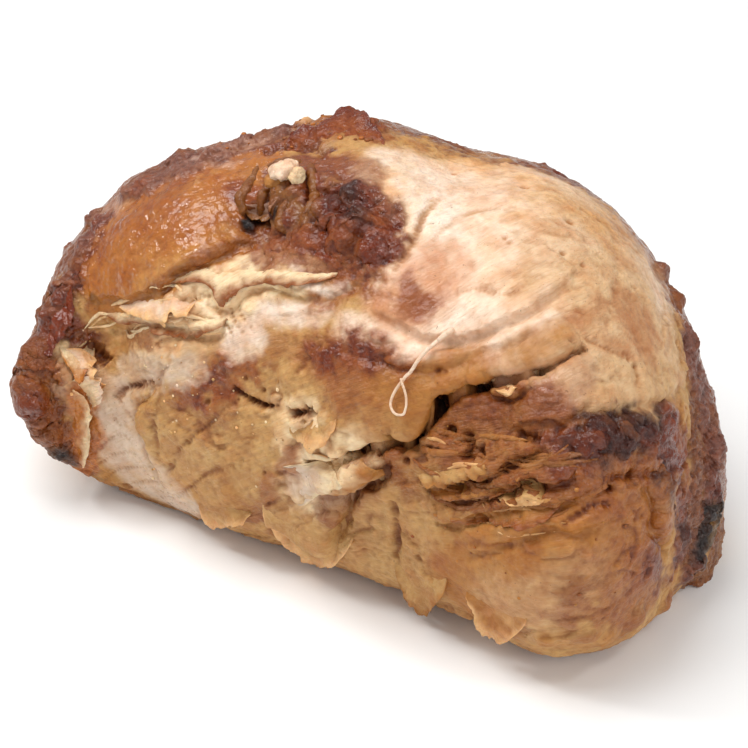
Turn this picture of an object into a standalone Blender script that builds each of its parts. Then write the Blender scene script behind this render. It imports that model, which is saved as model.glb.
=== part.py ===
"""Roast turkey: one boned, torn piece of breast meat with some browned skin left on it.

Metres, +Z up. The piece rests on its flat underside at Z = 0, with its centre over the origin.
+X runs along its length, and -Y is the side where the meat is torn open.

The body is a UV sphere with its poles on the X axis, whose rings are reshaped to the cross-sections
of the piece. Lobes, layer edges and clefts are then pressed into it along its own normals.
"""

import bmesh
import bpy
import numpy as np
from mathutils import Matrix

MM = 0.001

# Driving dimensions, in millimetres.
HALF_LENGTH = 101.5
RINGS = 76
SPOKES = 62
FRONT_DENSITY = 0.35
FRONT_ANGLE = np.radians(60.0)
GIRTH_SHARE = 0.36
BASE_SINK = 10.0

# Cross-sections at equal steps of angle from the left tip to the right tip, x = HALF_LENGTH * sin(angle).
# Each section is given by how far it reaches in front and behind, and by its underside and its crest.
STATIONS = np.radians(np.arange(-90.0, 91.0, 15.0))
FRONT = np.array([12, -2, -2, -5, -19, -33, -52, -66, -81, -72, -48, -36, -24], float)
BACK = np.array([12, 34, 52, 67, 77, 82, 84, 82, 72, 57, 36, 6, -26], float)
UNDERSIDE = np.array([42, 31, 12, 2, 0, 0, 0, 0, 0, 0, 0, 1, 22], float)
CREST = np.array([40, 46, 66, 82, 95, 101, 108, 102, 101, 90, 68, 44, 22], float)

# Rounded lobes and hollows: centre, radius, and height above the plain body (negative is a hollow).
LOBES = {
    "crest_ridge": ((-12, 44, 104), 20, 2),
    "skin_shoulder": ((-56, 10, 86), 26, 3),
    "shoulder_step": ((-68, 40, 86), 9, 2),
    "breast_dome": ((34, -14, 100), 32, 3),
    "joint_knob": ((-22, 11, 102), 7, 4),
    "joint_socket": ((-30, -3, 94), 9, -7),
    "neck_valley": ((-4, -20, 96), 12, -4),
    "left_pocket": ((-76, -2, 56), 9, -6),
    "left_knuckle": ((-90, -2, 46), 11, 2),
    "haunch": ((44, -78, 34), 30, 4),
    "torn_hollow": ((6, -50, 28), 12, -4),
    "slab": ((-38, -22, 34), 24, 4),
    "foot_rag_left": ((-42, -17, 5), 8, 6),
    "foot_rag_middle": ((-14, -33, 5), 10, 5),
    "foot_rag_centre": ((20, -56, 5), 10, 9),
    "foot_rag_right": ((36, -68, 5), 8, 4),
    "heel_rag": ((72, -54, 5), 10, 5),
}

# Layer edges: points on the edge, height of the step, and how far the upper layer takes to die away.
# The raised layer lies on the left hand of someone walking along the points, seen from outside.
LEDGES = {
    "breast_lip": ([(2, -36, 90), (17, -40, 87), (34, -40, 92), (51, -32, 99)], 5, 26),
    "tender_edge": ([(-4, -42, 81), (12, -44, 83), (35, -46, 88), (56, -44, 92)], 4, 16),
    "skin_edge": ([(-80, 6, 62), (-66, 4, 71), (-45, -5, 82), (-29, -4, 93)], 4, 26),
    "flap_edge": ([(-9, -44, 14), (-9, -46, 31), (2, -53, 46), (9, -54, 58)], 5, 16),
    "cut_edge": ([(-55, -14, 13), (-61, -12, 29), (-63, -9, 45)], -3, 12),
    "back_seam": ([(60, 58, 60), (20, 76, 66), (-20, 78, 60), (-55, 66, 46)], 4, 22),
}

# Clefts: points along the bottom, depth and half-width.
CLEFTS = {
    "main_cleft": ([(46, -55, 87), (33, -54, 80), (17, -52, 72), (4, -51, 61), (-16, -40, 47)], 9, 7),
    "right_fold": ([(88, -20, 66), (90, -30, 54), (90, -40, 36)], 3, 6),
    "back_cleft": ([(-70, 56, 60), (-40, 72, 62), (0, 78, 66)], 4, 7),
}

PATH_STEP = 1.5
LEDGE_EDGE = 5.0
SMOOTHING_PASSES = 2


def station_values(values, angle):
    """A Catmull-Rom spline through the values at the stations, read at each angle."""
    step = STATIONS[1] - STATIONS[0]
    place = (angle - STATIONS[0]) / step
    first = np.clip(np.floor(place).astype(int), 0, len(values) - 2)
    t = place - first
    held = np.concatenate([[2 * values[0] - values[1]], values, [2 * values[-1] - values[-2]]])
    a, b, c, d = (held[first + k] for k in range(4))
    return b + 0.5 * t * (c - a + t * (2 * a - 5 * b + 4 * c - d + t * (3 * (b - c) + d - a)))


def signed_power(value, power):
    return np.sign(value) * np.abs(value) ** power


def section_point(angle, turn):
    """The point of the plain body at a station angle and at a turn round the section, from front over the crest."""
    front, back, low, high = (station_values(v, angle) for v in (FRONT, BACK, UNDERSIDE, CREST))
    girth_level = low + GIRTH_SHARE * (high - low)
    across, up = np.cos(turn), np.sin(turn)
    y = (front + back) / 2 - (back - front) / 2 * signed_power(across, 0.95)
    above = girth_level + (high - girth_level) * up
    below = girth_level + (girth_level - low + BASE_SINK) * signed_power(up, 0.6)
    z = np.maximum(np.where(up > 0, above, below), low)
    return np.stack([HALF_LENGTH * np.sin(angle), y, z], axis=-1)


def smooth_path(points):
    """The points joined by a smooth curve, as evenly dense samples."""
    points = np.array(points, float)
    held = np.concatenate([[2 * points[0] - points[1]], points, [2 * points[-1] - points[-2]]])
    samples = []
    for a, b, c, d in zip(held, held[1:], held[2:], held[3:]):
        count = max(2, int(np.linalg.norm(c - b) / PATH_STEP))
        t = np.linspace(0, 1, count, endpoint=False)[:, None]
        samples.append(b + 0.5 * t * (c - a + t * (2 * a - 5 * b + 4 * c - d + t * (3 * (b - c) + d - a))))
    return np.concatenate([*samples, points[-1:]])


def beside_path(path, points, normals):
    """For each point, its distance to the path, its distance to the path's left hand, and a fade at the ends."""
    offsets = points[:, None] - path[None]
    distance = np.linalg.norm(offsets, axis=2)
    nearest = distance.argmin(axis=1)
    row = np.arange(len(points))
    tangents = np.gradient(path, axis=0)
    tangents /= np.linalg.norm(tangents, axis=1, keepdims=True)
    left = np.cross(normals, tangents[nearest])
    side = (offsets[row, nearest] * left).sum(axis=1)
    share = nearest / (len(path) - 1)
    fade = np.sin(np.pi * np.clip(share, 0, 1)) ** 0.5
    return distance[row, nearest], side, fade


def smoothstep(low, high, value):
    t = np.clip((value - low) / (high - low), 0, 1)
    return t * t * (3 - 2 * t)


def lobe_height(points, centre, radius, height):
    distance = np.linalg.norm(points - np.array(centre, float), axis=1)
    return height * np.exp(-((distance / radius) ** 2))


def ledge_height(points, normals, route, height, run):
    distance, side, fade = beside_path(smooth_path(route), points, normals)
    step = smoothstep(-LEDGE_EDGE / 2, LEDGE_EDGE / 2, side)
    return height * step * fade * np.exp(-((distance / run) ** 2))


def cleft_depth(points, normals, route, depth, width):
    distance, _, fade = beside_path(smooth_path(route), points, normals)
    return depth * fade * np.exp(-((distance / width) ** 2))


def vertex_arrays(mesh):
    """The mesh's vertex positions and normals as arrays."""
    points = np.empty(len(mesh.vertices) * 3)
    normals = np.empty(len(mesh.vertices) * 3)
    mesh.vertices.foreach_get("co", points)
    mesh.vertices.foreach_get("normal", normals)
    return points.reshape(-1, 3), normals.reshape(-1, 3)


def set_points(mesh, points):
    mesh.vertices.foreach_set("co", points.astype(np.float32).ravel())
    mesh.update()


def plain_body():
    """A UV sphere with its poles on the X axis, with every ring reshaped to its section."""
    shape = bmesh.new()
    bmesh.ops.create_uvsphere(shape, u_segments=SPOKES, v_segments=RINGS, radius=1.0)
    bmesh.ops.rotate(shape, verts=shape.verts, matrix=Matrix.Rotation(np.pi / 2, 3, "Y"))
    mesh = bpy.data.meshes.new("roast_turkey")
    shape.to_mesh(mesh)
    shape.free()
    sphere, _ = vertex_arrays(mesh)
    angle = np.arcsin(np.clip(sphere[:, 0], -1, 1))
    turn = np.arctan2(sphere[:, 2], -sphere[:, 1])
    turn = turn - FRONT_DENSITY * np.sin(turn - FRONT_ANGLE)
    set_points(mesh, section_point(angle, turn))
    return mesh


def press_features(mesh):
    """Raises the lobes and layers and presses in the clefts, each along the normals of the shape so far."""
    points, normals = vertex_arrays(mesh)
    height = sum(lobe_height(points, *lobe) for lobe in LOBES.values())
    set_points(mesh, points + height[:, None] * normals)
    points, normals = vertex_arrays(mesh)
    height = sum(ledge_height(points, normals, *ledge) for ledge in LEDGES.values())
    height -= sum(cleft_depth(points, normals, *cleft) for cleft in CLEFTS.values())
    set_points(mesh, points + height[:, None] * normals)


def soften(mesh):
    """Evens out the pressed edges a little, as cooked meat has no knife-sharp ones."""
    shape = bmesh.new()
    shape.from_mesh(mesh)
    for _ in range(SMOOTHING_PASSES):
        bmesh.ops.smooth_vert(
            shape, verts=shape.verts, factor=0.5, use_axis_x=True, use_axis_y=True, use_axis_z=True)
    shape.to_mesh(mesh)
    shape.free()


def settle(mesh):
    """Cuts the underside flat at Z = 0 and turns the millimetres into metres."""
    points, _ = vertex_arrays(mesh)
    points[:, 2] = np.maximum(points[:, 2], 0)
    set_points(mesh, points * MM)


def roast_material():
    material = bpy.data.materials.new("roast_meat")
    material.use_nodes = True
    shader = material.node_tree.nodes["Principled BSDF"]
    shader.inputs["Base Color"].default_value = (0.62, 0.36, 0.17, 1)
    shader.inputs["Roughness"].default_value = 0.45
    shader.inputs["Metallic"].default_value = 0.0
    return material


def main():
    for old in list(bpy.data.objects):
        bpy.data.objects.remove(old)
    mesh = plain_body()
    press_features(mesh)
    soften(mesh)
    settle(mesh)
    mesh.materials.append(roast_material())
    mesh.shade_smooth()
    turkey = bpy.data.objects.new("roast_turkey", mesh)
    bpy.context.scene.collection.objects.link(turkey)


main()
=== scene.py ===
import bpy
import numpy as np
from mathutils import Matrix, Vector


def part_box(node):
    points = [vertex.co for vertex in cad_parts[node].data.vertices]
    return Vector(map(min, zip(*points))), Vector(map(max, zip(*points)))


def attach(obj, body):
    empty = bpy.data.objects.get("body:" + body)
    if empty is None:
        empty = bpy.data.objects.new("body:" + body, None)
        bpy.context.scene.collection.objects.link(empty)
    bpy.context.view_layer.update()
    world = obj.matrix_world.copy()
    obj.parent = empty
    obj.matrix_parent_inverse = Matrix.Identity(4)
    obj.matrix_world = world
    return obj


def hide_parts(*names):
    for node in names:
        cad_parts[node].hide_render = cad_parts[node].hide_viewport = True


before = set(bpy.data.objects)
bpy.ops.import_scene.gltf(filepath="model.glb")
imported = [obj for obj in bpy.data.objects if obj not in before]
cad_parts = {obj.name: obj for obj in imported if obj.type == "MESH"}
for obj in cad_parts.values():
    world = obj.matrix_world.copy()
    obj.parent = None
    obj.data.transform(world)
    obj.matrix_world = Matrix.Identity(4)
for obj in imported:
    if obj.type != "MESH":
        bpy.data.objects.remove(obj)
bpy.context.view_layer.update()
MM = 0.001
low_corner, high_corner = (np.array(corner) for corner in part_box("roast_turkey"))
HALF_LENGTH = 101.5
print("solid is", np.round((high_corner - low_corner) / MM, 1), "mm")

# %% [markdown]
# ## Noise
#
# Meat has no straight line in it, so every edge and surface is roughened by noise. Blender's own noise can
# be read one point at a time, which is slow for a hundred thousand points, so this lesson works its noise
# out with numpy on whole arrays.
#
# %% Smooth noise on whole arrays
def scramble(cells, seed):
    """Turns whole-number cube corners into fixed random numbers from -1 to 1, by mixing their bits."""
    mixed = cells @ np.array([374761393, 668265263, 1103515245], np.int64) + seed * 974634777
    mixed = (mixed ^ (mixed >> 13)) * 1274126177
    mixed = mixed ^ (mixed >> 16)
    return (mixed & 0xFFFFFF) / 0x7FFFFF - 1.0


def noise(points, size, seed):
    """Noise from -1 to 1 whose lumps are about as wide as size: each point blends the random numbers of the
    eight corners of its cube, with weights t * t * (3 - 2 * t) along each axis."""
    places = points / size + 500.0
    cells = np.floor(places).astype(np.int64)
    t = places - cells
    t = t * t * (3 - 2 * t)
    total = 0.0
    for corner in np.ndindex(2, 2, 2):
        weight = np.where(np.array(corner), t, 1 - t).prod(axis=-1)
        total = total + weight * scramble(cells + np.array(corner), seed)
    return total


TURNED = np.array([[0.36, 0.48, -0.8], [-0.8, 0.6, 0.0], [0.48, 0.64, 0.6]])


def layered_noise(points, size, seed, layers=3):
    """Noise plus finer noise: each layer is turned, half as wide and half as strong as the one before."""
    total, strength = 0.0, 1.0
    for layer in range(layers):
        total = total + strength * noise(points, size / 2**layer, seed + layer)
        points, strength = points @ TURNED, strength / 2
    return total / (2 - 2.0 ** (1 - layers))


def streaks(points, direction, width, length, seed):
    """Noise drawn out along a direction: the points are squeezed by width / length along it first."""
    direction = np.array(direction, float) / np.linalg.norm(direction)
    along = (points @ direction)[..., None] * direction
    return layered_noise(points - (1 - width / length) * along, width, seed, layers=2)


def smoothstep(low, high, value):
    t = np.clip((value - low) / (high - low), 0, 1)
    return t * t * (3 - 2 * t)


sample_noise = noise(np.random.default_rng(1).random((999, 3)) * 50, 4.0, 3)
print("noise from", round(float(sample_noise.min()), 2), "to", round(float(sample_noise.max()), 2))

# %% [markdown]
# ## The plain body
#
# The lump is a stack of cross-sections along its length, like a loft. Each section is a rounded shape given
# by four numbers: how far it reaches in front and behind, and the heights of its underside and crest. The
# numbers are those of the solid in the frame. A place on the piece is then two numbers, x along the length
# and the turn around the section: 0 degrees faces the front, 90 is the crest and 180 the back.
#
# %% Cross-sections of the body
STATIONS = np.radians(np.arange(-90.0, 91.0, 15.0))
FRONT = np.array([12, -2, -2, -5, -19, -33, -52, -66, -81, -72, -48, -36, -24], float)
BACK = np.array([12, 34, 52, 67, 77, 82, 84, 82, 72, 57, 36, 6, -26], float)
UNDERSIDE = np.array([42, 31, 12, 2, 0, 0, 0, 0, 0, 0, 0, 1, 22], float)
CREST = np.array([40, 46, 66, 82, 95, 101, 108, 102, 101, 90, 68, 44, 22], float)
GIRTH_SHARE = 0.36
BASE_SINK = 10.0


def spline(values, place):
    """A Catmull-Rom curve through evenly spaced values, read at places counted in steps."""
    values = np.asarray(values, float)
    first = np.clip(np.floor(place).astype(int), 0, len(values) - 2)
    t = place - first
    if values.ndim > 1:
        t = t[..., None]
    held = np.concatenate([[2 * values[0] - values[1]], values, [2 * values[-1] - values[-2]]])
    a, b, c, d = (held[first + k] for k in range(4))
    return b + 0.5 * t * (c - a + t * (2 * a - 5 * b + 4 * c - d + t * (3 * (b - c) + d - a)))


def plain_point(angle, turn):
    """The point of the plain body at x = HALF_LENGTH * sin(angle) and at a turn around the section."""
    place = (angle - STATIONS[0]) / (STATIONS[1] - STATIONS[0])
    front, back, low, high = (spline(values, place) for values in (FRONT, BACK, UNDERSIDE, CREST))
    girth = low + GIRTH_SHARE * (high - low)
    across, up = np.cos(turn), np.sin(turn)
    y = (front + back) / 2 - (back - front) / 2 * np.sign(across) * np.abs(across) ** 0.95
    below = girth + (girth - low + BASE_SINK) * np.sign(up) * np.abs(up) ** 0.6
    z = np.maximum(np.where(up > 0, girth + (high - girth) * up, below), low)
    return np.stack([HALF_LENGTH * np.sin(angle), y, z], axis=-1)


def place(route):
    """The plain body's points at places given as (x in mm, turn in degrees)."""
    route = np.atleast_2d(np.array(route, float))
    return plain_point(np.arcsin(np.clip(route[:, 0] / HALF_LENGTH, -1, 1)), np.radians(route[:, 1]))


# %% [markdown]
# ## Sheets
#
# One mesh fine enough to show muscle fibres all over would have millions of faces. So the lump has one
# coarser body, and finer sheets lie over the parts that the eye goes to. All of them are cut from the same
# worked-out surface, so they fit: the body sinks a little under a sheet, and each sheet's rim dives under
# the body. A sheet holds grids: its plain points, its outward directions, the turn in degrees, and so on.
#
# %% A sheet of the surface between two lengths and two turns
def grid_normals(points, around):
    """Outward normals of a grid, from the cross product of its steps along and around."""
    along = np.gradient(points, axis=0)
    if around:
        across = np.roll(points, -1, axis=1) - np.roll(points, 1, axis=1)
    else:
        across = np.gradient(points, axis=1)
    normals = np.cross(along, across)
    return normals / (np.linalg.norm(normals, axis=-1, keepdims=True) + 1e-12)


def new_sheet(angles, turns, around=False):
    """The grids of a sheet: plain points, outward directions, worked points, paint and cleft depth."""
    angle_grid, turn_grid = np.meshgrid(angles, turns, indexing="ij")
    plain = plain_point(angle_grid, turn_grid)
    return {"plain": plain, "out": grid_normals(plain, around), "around": around, "points": plain.copy(),
            "turn": np.degrees(turn_grid), "cleft": np.zeros(plain.shape[:2]), "paint": None}


RINGS, SPOKES = 300, 240
body = new_sheet(np.linspace(-np.pi / 2, np.pi / 2, RINGS + 1)[1:-1],
                 np.linspace(-np.pi, np.pi, SPOKES, endpoint=False), around=True)
outward = (body["out"] * (body["plain"] - body["plain"].mean(axis=(0, 1)))).sum(axis=-1)
print("body grid", body["plain"].shape[:2], "outward share", round(float((outward > 0).mean()), 3))

# %% Measuring the surface from a route drawn on it
def smooth_route(route, step=1.2):
    """The route's places joined by a Catmull-Rom curve on the plain body, sampled every step or so."""
    corners = np.atleast_2d(np.array(route, float))
    if len(corners) == 1:
        return place(corners)
    length = np.linalg.norm(np.diff(place(corners), axis=0), axis=1).sum()
    samples = spline(corners, np.linspace(0, len(corners) - 1, max(3, int(length / step))))
    return place(samples)


def near_route(sheet, route, reach):
    """For the points within reach of a route: which they are, how far away, how far to the route's left
    hand, the left-hand direction, and a fade from 1 to 0 at the route's ends."""
    path = smooth_route(route, max(1.2, reach / 16))
    plain = sheet["plain"]
    box_low, box_high = path.min(axis=0) - reach, path.max(axis=0) + reach
    found = np.nonzero(((plain > box_low) & (plain < box_high)).all(axis=-1))
    points, normals = plain[found], sheet["out"][found]
    nearest = np.zeros(len(points), int)
    distance = np.full(len(points), np.inf)
    for k, sample in enumerate(path):
        reached = np.linalg.norm(points - sample, axis=1)
        closer = reached < distance
        distance[closer], nearest[closer] = reached[closer], k
    if len(path) == 1:
        return found, distance, distance, normals, np.ones(len(points))
    tangents = np.gradient(path, axis=0)
    tangents /= np.linalg.norm(tangents, axis=1, keepdims=True)
    left = np.cross(normals, tangents[nearest])
    side = ((points - path[nearest]) * left).sum(axis=1)
    fade = np.abs(np.sin(np.pi * nearest / (len(path) - 1))) ** 0.5
    return found, distance, side, left, fade


print("a 20 mm route has", len(smooth_route([(0, 40), (20, 40)])), "samples")

# %% [markdown]
# ## Lumps, folds, clefts and pits
#
# Torn meat parts along its muscles, so its relief is mostly edges: one layer ends and hangs a little over
# the next. A fold here lifts the layer on one side of a route, pulls its edge outwards over a groove, and
# lets the lift die away. A sculptor would do the same by hand with a crease brush; routes and numbers do it
# here so that each one can be changed later.
#
# %% Rounded lobes of the body
LOBES = {
    "crest_ridge": ((-12, 44, 104), 20, 2),
    "skin_shoulder": ((-56, 10, 86), 26, 3),
    "shoulder_step": ((-68, 40, 86), 9, 2),
    "breast_dome": ((34, -14, 100), 32, 3),
    "joint_knob": ((-22, 11, 102), 7, 4),
    "joint_socket": ((-30, -3, 94), 9, -7),
    "neck_valley": ((-4, -20, 96), 12, -4),
    "left_pocket": ((-76, -2, 56), 9, -6),
    "left_knuckle": ((-90, -2, 46), 11, 2),
    "haunch": ((44, -78, 34), 30, 4),
    "torn_hollow": ((6, -50, 28), 12, -4),
    "slab": ((-38, -22, 34), 24, 4),
}


def raise_lobes(sheet):
    """Lifts the sheet along its outward direction by height * exp(-(distance / radius) squared) per lobe."""
    for centre, radius, height in LOBES.values():
        distance = np.linalg.norm(sheet["plain"] - np.array(centre, float), axis=-1)
        sheet["points"] += (height * np.exp(-((distance / radius) ** 2)))[..., None] * sheet["out"]


print(len(LOBES), "lobes")

# %% Folds: name, rise, run, overhang, groove, and the route with the raised layer on its left
FOLDS = [
    ("breast_lip", 1.6, 20, 0.8, 1.1, [(1, 46), (8, 46), (18, 46), (30, 51), (40, 58), (48, 66), (55, 74)]),
    ("strip_crease", 0.8, 6, 0.4, 0.8, [(-6, 37), (4, 37), (16, 39), (28, 45), (38, 51), (49, 58)]),
    ("main_cleft", 3.0, 14, 2.0, 8.0,
     [(-16, 7), (-6, 12), (6, 21), (11, 22), (20, 34), (30, 42), (38, 46), (47, 51), (55, 57)]),
    ("skin_edge", 1.9, 18, 0.9, 1.0, [(-80, 51), (-70, 45), (-59, 45), (-50, 51), (-41, 56), (-33, 63)]),
    ("flap_scallop", 1.2, 10, 0.8, 1.0,
     [(-50, 43), (-42, 46), (-38, 42), (-34, 46), (-27, 49), (-19, 48), (-12, 48), (-5, 51), (5, 57)]),
    ("flap_second", 1.4, 9, 1.0, 1.4, [(-75, 36), (-61, 37), (-51, 36), (-43, 34), (-38, 36)]),
    ("slab_edge", 1.6, 10, 0.7, 1.2, [(-53, 24), (-57, 15), (-63, 6), (-61, -2), (-58, -8), (-55, -20)]),
    ("slab_mound", 1.2, 9, 0.5, 1.0, [(-20, 9), (-17, 15), (-12, 21), (-8, 16), (-6, 14)]),
    ("left_flap_edge", 2.4, 13, 1.0, 2.6, [(-10, -20), (-10, -9), (-5, 3), (-1, 6), (3, 10), (4, 15)]),
    ("left_flap_mid", 1.0, 9, 0.6, 1.0, [(-18, -2), (-13, 0), (-3, 6), (2, 10)]),
    ("flap_low_edge", 1.2, 9, 0.6, 1.0, [(-28, -12), (-22, -14), (-17, -15), (-10, -22)]),
    ("right_overhang", 0.9, 14, 0.3, 0.7, [(35, 33), (45, 37), (58, 43), (75, 48), (88, 61)]),
    ("cleft_lens", 1.2, 5, 1.0, 1.6, [(26, 39), (30, 40), (37, 40), (42, 45)]),
    ("shred_step_a", 1.6, 6, 1.2, 2.2, [(15, 12), (22, 16), (32, 22), (39, 28), (46, 32)]),
    ("shred_step_b", 1.8, 6, 1.2, 2.4, [(17, 9), (29, 16), (36, 21), (45, 25), (53, 28)]),
    ("shred_step_c", 1.5, 7, 1.0, 2.0, [(18, 4), (28, 10), (39, 18), (49, 21), (61, 27)]),
    ("shred_step_d", 0.8, 6, 0.6, 1.0, [(23, 0), (32, 4), (45, 14), (54, 16), (63, 21)]),
    ("side_ridge", 1.8, 8, 0.8, 1.4, [(71, 27), (74, 19), (74, 14), (80, 4)]),
    ("side_edge", 1.4, 10, 0.6, 1.2, [(74, 4), (78, 19), (85, 37), (85, 54), (85, 74), (82, 90)]),
    ("back_seam", 2.0, 20, 0.8, 1.4, [(70, 140), (40, 142), (0, 150), (-40, 148), (-70, 140)]),
    ("back_layer", 1.4, 14, 0.6, 1.0, [(60, 165), (20, 168), (-30, 172)]),
]
GROOVE_WIDTH = 1.9
GROOVE_OFFSET = 1.7


def press_folds(sheet):
    """Lifts the layer on the left of each route, digs a groove on its right, and pulls the layer's edge over
    the groove. The route wanders a little, by noise, so that no edge is a clean curve."""
    shift = np.zeros_like(sheet["points"])
    for _, rise, run, overhang, groove, route in FOLDS:
        found, _, side, left, fade = near_route(sheet, route, run * 1.6)
        points = sheet["plain"][found]
        for strength, size, seed in ((0.9, 6.0, 11), (0.5, 2.2, 12), (0.25, 0.9, 13)):
            side = side + strength * noise(points, size, seed)
        lift = rise * smoothstep(-0.7, 0.9, side) * np.exp(-((side / run) ** 2))
        lift -= groove * np.exp(-(((side + GROOVE_OFFSET) / GROOVE_WIDTH) ** 2))
        pull = overhang * np.exp(-(((side - 0.8) / 2.2) ** 2))
        outward = sheet["out"][found]
        shift[found] += (lift * fade)[:, None] * outward - (pull * fade)[:, None] * left
        sheet["cleft"][found] += 0.42 * groove * fade * np.exp(-(((side + GROOVE_OFFSET) / 1.3) ** 2))
    sheet["points"] += shift


print(len(FOLDS), "folds, the deepest groove at", max(FOLDS, key=lambda fold: fold[4])[0])

# %% Clefts and cracks: name, depth, half-width, route
CLEFTS = [
    ("crack_a", 4.0, 0.9, [(-36, 21), (-32, 19), (-27, 18), (-22, 19)]),
    ("crack_b", 5.0, 1.4, [(-20, 18), (-17, 19), (-12, 21)]),
    ("crack_c", 4.0, 1.1, [(4, 18), (6, 18), (14, 22)]),
    ("slab_line", 0.9, 0.9, [(-34, 18), (-43, 9), (-53, -2), (-56, -6)]),
    ("slab_line_low", 1.0, 1.0, [(-56, -17), (-45, -3), (-34, 1)]),
    ("slab_line_side", 0.9, 1.0, [(-18, 25), (-16, 30), (-14, 33)]),
    ("ridge_crease", 1.6, 1.3, [(7, 56), (12, 65), (15, 74), (19, 81)]),
    ("dome_line", 0.8, 1.2, [(23, 57), (30, 60), (37, 61), (43, 66)]),
    ("dome_long", 0.7, 1.6, [(14, 63), (22, 74), (30, 81), (41, 85)]),
    ("right_crease_a", 0.6, 1.0, [(52, 57), (57, 57), (64, 56), (73, 56)]),
    ("right_crease_b", 0.35, 1.2, [(66, 92), (66, 81), (64, 69), (61, 60)]),
    ("right_crease_c", 0.8, 1.2, [(66, 58), (69, 52), (69, 48)]),
    ("flap_line_a", 1.0, 1.0, [(-51, 39), (-43, 37), (-35, 36)]),
    ("flap_line_b", 0.8, 0.9, [(-53, 42), (-46, 43), (-37, 45)]),
    ("pink_gap", 2.6, 1.4, [(-71, 10), (-69, 14), (-64, 16), (-58, 18)]),
    ("pink_gap_low", 1.4, 1.6, [(-60, 12), (-58, 4), (-58, -3)]),
    ("pocket_a", 3.5, 2.0, [(-81, 34), (-78, 27), (-74, 21)]),
    ("shred_gap_a", 5.0, 1.5, [(26, 24), (27, 24), (33, 27)]),
    ("shred_gap_b", 3.5, 1.2, [(38, 32), (42, 33), (45, 33)]),
    ("shred_gap_c", 3.0, 1.0, [(17, 15), (24, 16), (30, 21)]),
    ("shred_gap_d", 3.0, 1.2, [(34, 16), (42, 24), (46, 22)]),
    ("shred_gap_e", 2.6, 1.0, [(27, 9), (35, 12), (42, 16)]),
    ("shred_gap_f", 2.2, 1.0, [(49, 16), (56, 21), (61, 22)]),
    ("belly_gap", 2.0, 1.2, [(7, 4), (7, -3), (7, -11)]),
    ("scorch_line", 1.6, 1.2, [(58, 27), (67, 28), (73, 28)]),
    ("low_line", 0.6, 1.0, [(22, 0), (35, 6), (50, 10)]),
    ("pit_fold", 6.0, 2.6, [(-33, 67), (-31, 69), (-26, 70)]),
    ("knob_side_a", 3.0, 1.4, [(-28, 85), (-27, 78), (-26, 72)]),
    ("knob_side_b", 2.6, 1.2, [(-16, 81), (-15, 76), (-16, 70)]),
    ("char_gap", 2.5, 1.4, [(-12, 75), (-6, 72), (-2, 67)]),
    ("ridge_gap", 2.5, 1.6, [(-29, 92), (-21, 94), (-10, 88)]),
    ("main_gap", 4.5, 1.1, [(3, 15), (5, 16), (15, 24), (18, 32), (23, 36), (29, 40), (35, 43), (46, 49)]),
    ("fan_a", 0.5, 0.6, [(-81, -22), (-75, -9), (-67, -3)]),
    ("fan_b", 0.5, 0.6, [(-80, -33), (-72, -14), (-61, -6)]),
    ("fan_c", 0.5, 0.6, [(-76, -35), (-66, -17), (-57, -11)]),
    ("fan_d", 0.5, 0.6, [(-70, 10), (-66, 4), (-62, -2)]),
    ("fan_e", 0.4, 0.6, [(-74, 9), (-71, 1), (-66, -2)]),
    ("fan_f", 0.4, 0.6, [(-80, -11), (-75, -3), (-69, 0)]),
    ("white_a", 0.6, 0.6, [(-41, 42), (-38, 37), (-35, 33)]),
    ("white_b", 0.6, 0.6, [(-37, 43), (-36, 39), (-32, 34)]),
    ("white_c", 0.5, 0.6, [(-35, 43), (-33, 39), (-30, 36)]),
]


def cut_clefts(sheet):
    """Deepens the cleft field by depth * exp(-(distance / width) squared) along each route."""
    for _, depth, width, route in CLEFTS:
        found, distance, _, _, fade = near_route(sheet, route, width * 3 + 2)
        points = sheet["plain"][found]
        distance = np.maximum(distance + 0.5 * noise(points, 3.0, 21) + 0.3 * noise(points, 1.1, 22), 0)
        sheet["cleft"][found] += depth * fade * np.exp(-((distance / width) ** 2))


print(len(CLEFTS), "clefts, the deepest is", max(CLEFTS, key=lambda cleft: cleft[1])[0])

# %% Pits, pores and bumps: depth (negative stands out), radius, place
PITS = [
    (4.0, 1.5, (22, 27)), (3.5, 1.7, (27, 27)), (4.5, 1.2, (43, 24)), (2.5, 1.0, (11, 16)),
    (2.0, 1.0, (67, 28)), (2.0, 1.1, (61, 25)), (1.6, 1.1, (43, 94)), (1.2, 1.2, (54, 87)),
    (1.0, 0.6, (37, 75)), (0.8, 0.6, (38, 74)), (0.8, 0.8, (24, 93)), (0.8, 0.8, (8, 72)),
    (1.0, 0.7, (51, 76)), (1.0, 0.7, (56, 75)), (1.0, 0.7, (69, 54)), (1.2, 0.7, (19, 39)),
    (1.4, 0.9, (-42, 16)), (1.4, 0.8, (-27, 22)), (1.0, 0.7, (-32, 24)), (1.0, 0.6, (-34, 18)),
    (1.0, 0.6, (-26, 1)), (-2.4, 4.2, (-11, 16)), (-1.4, 3.0, (-6, 25)), (-1.8, 3.6, (-19, 27)),
    (-2.2, 3.0, (0, 60)), (-2.0, 2.6, (-6, 61)), (-1.8, 2.2, (-11, 56)), (-2.4, 3.2, (-11, 69)),
    (-2.0, 2.4, (-3, 65)), (-1.6, 2.2, (2, 57)), (-1.6, 5.0, (51, 48)),
]


def press_pits(sheet):
    """Adds each pit to the cleft field, or takes it away where it is a bump."""
    for depth, radius, spot in PITS:
        found, distance, _, _, _ = near_route(sheet, [spot], radius * 3)
        distance = distance * (1 + 0.25 * noise(sheet["plain"][found], 1.6, 23))
        sheet["cleft"][found] += depth * np.exp(-((distance / radius) ** 2))


print(len(PITS), "pits and bumps")

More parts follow.
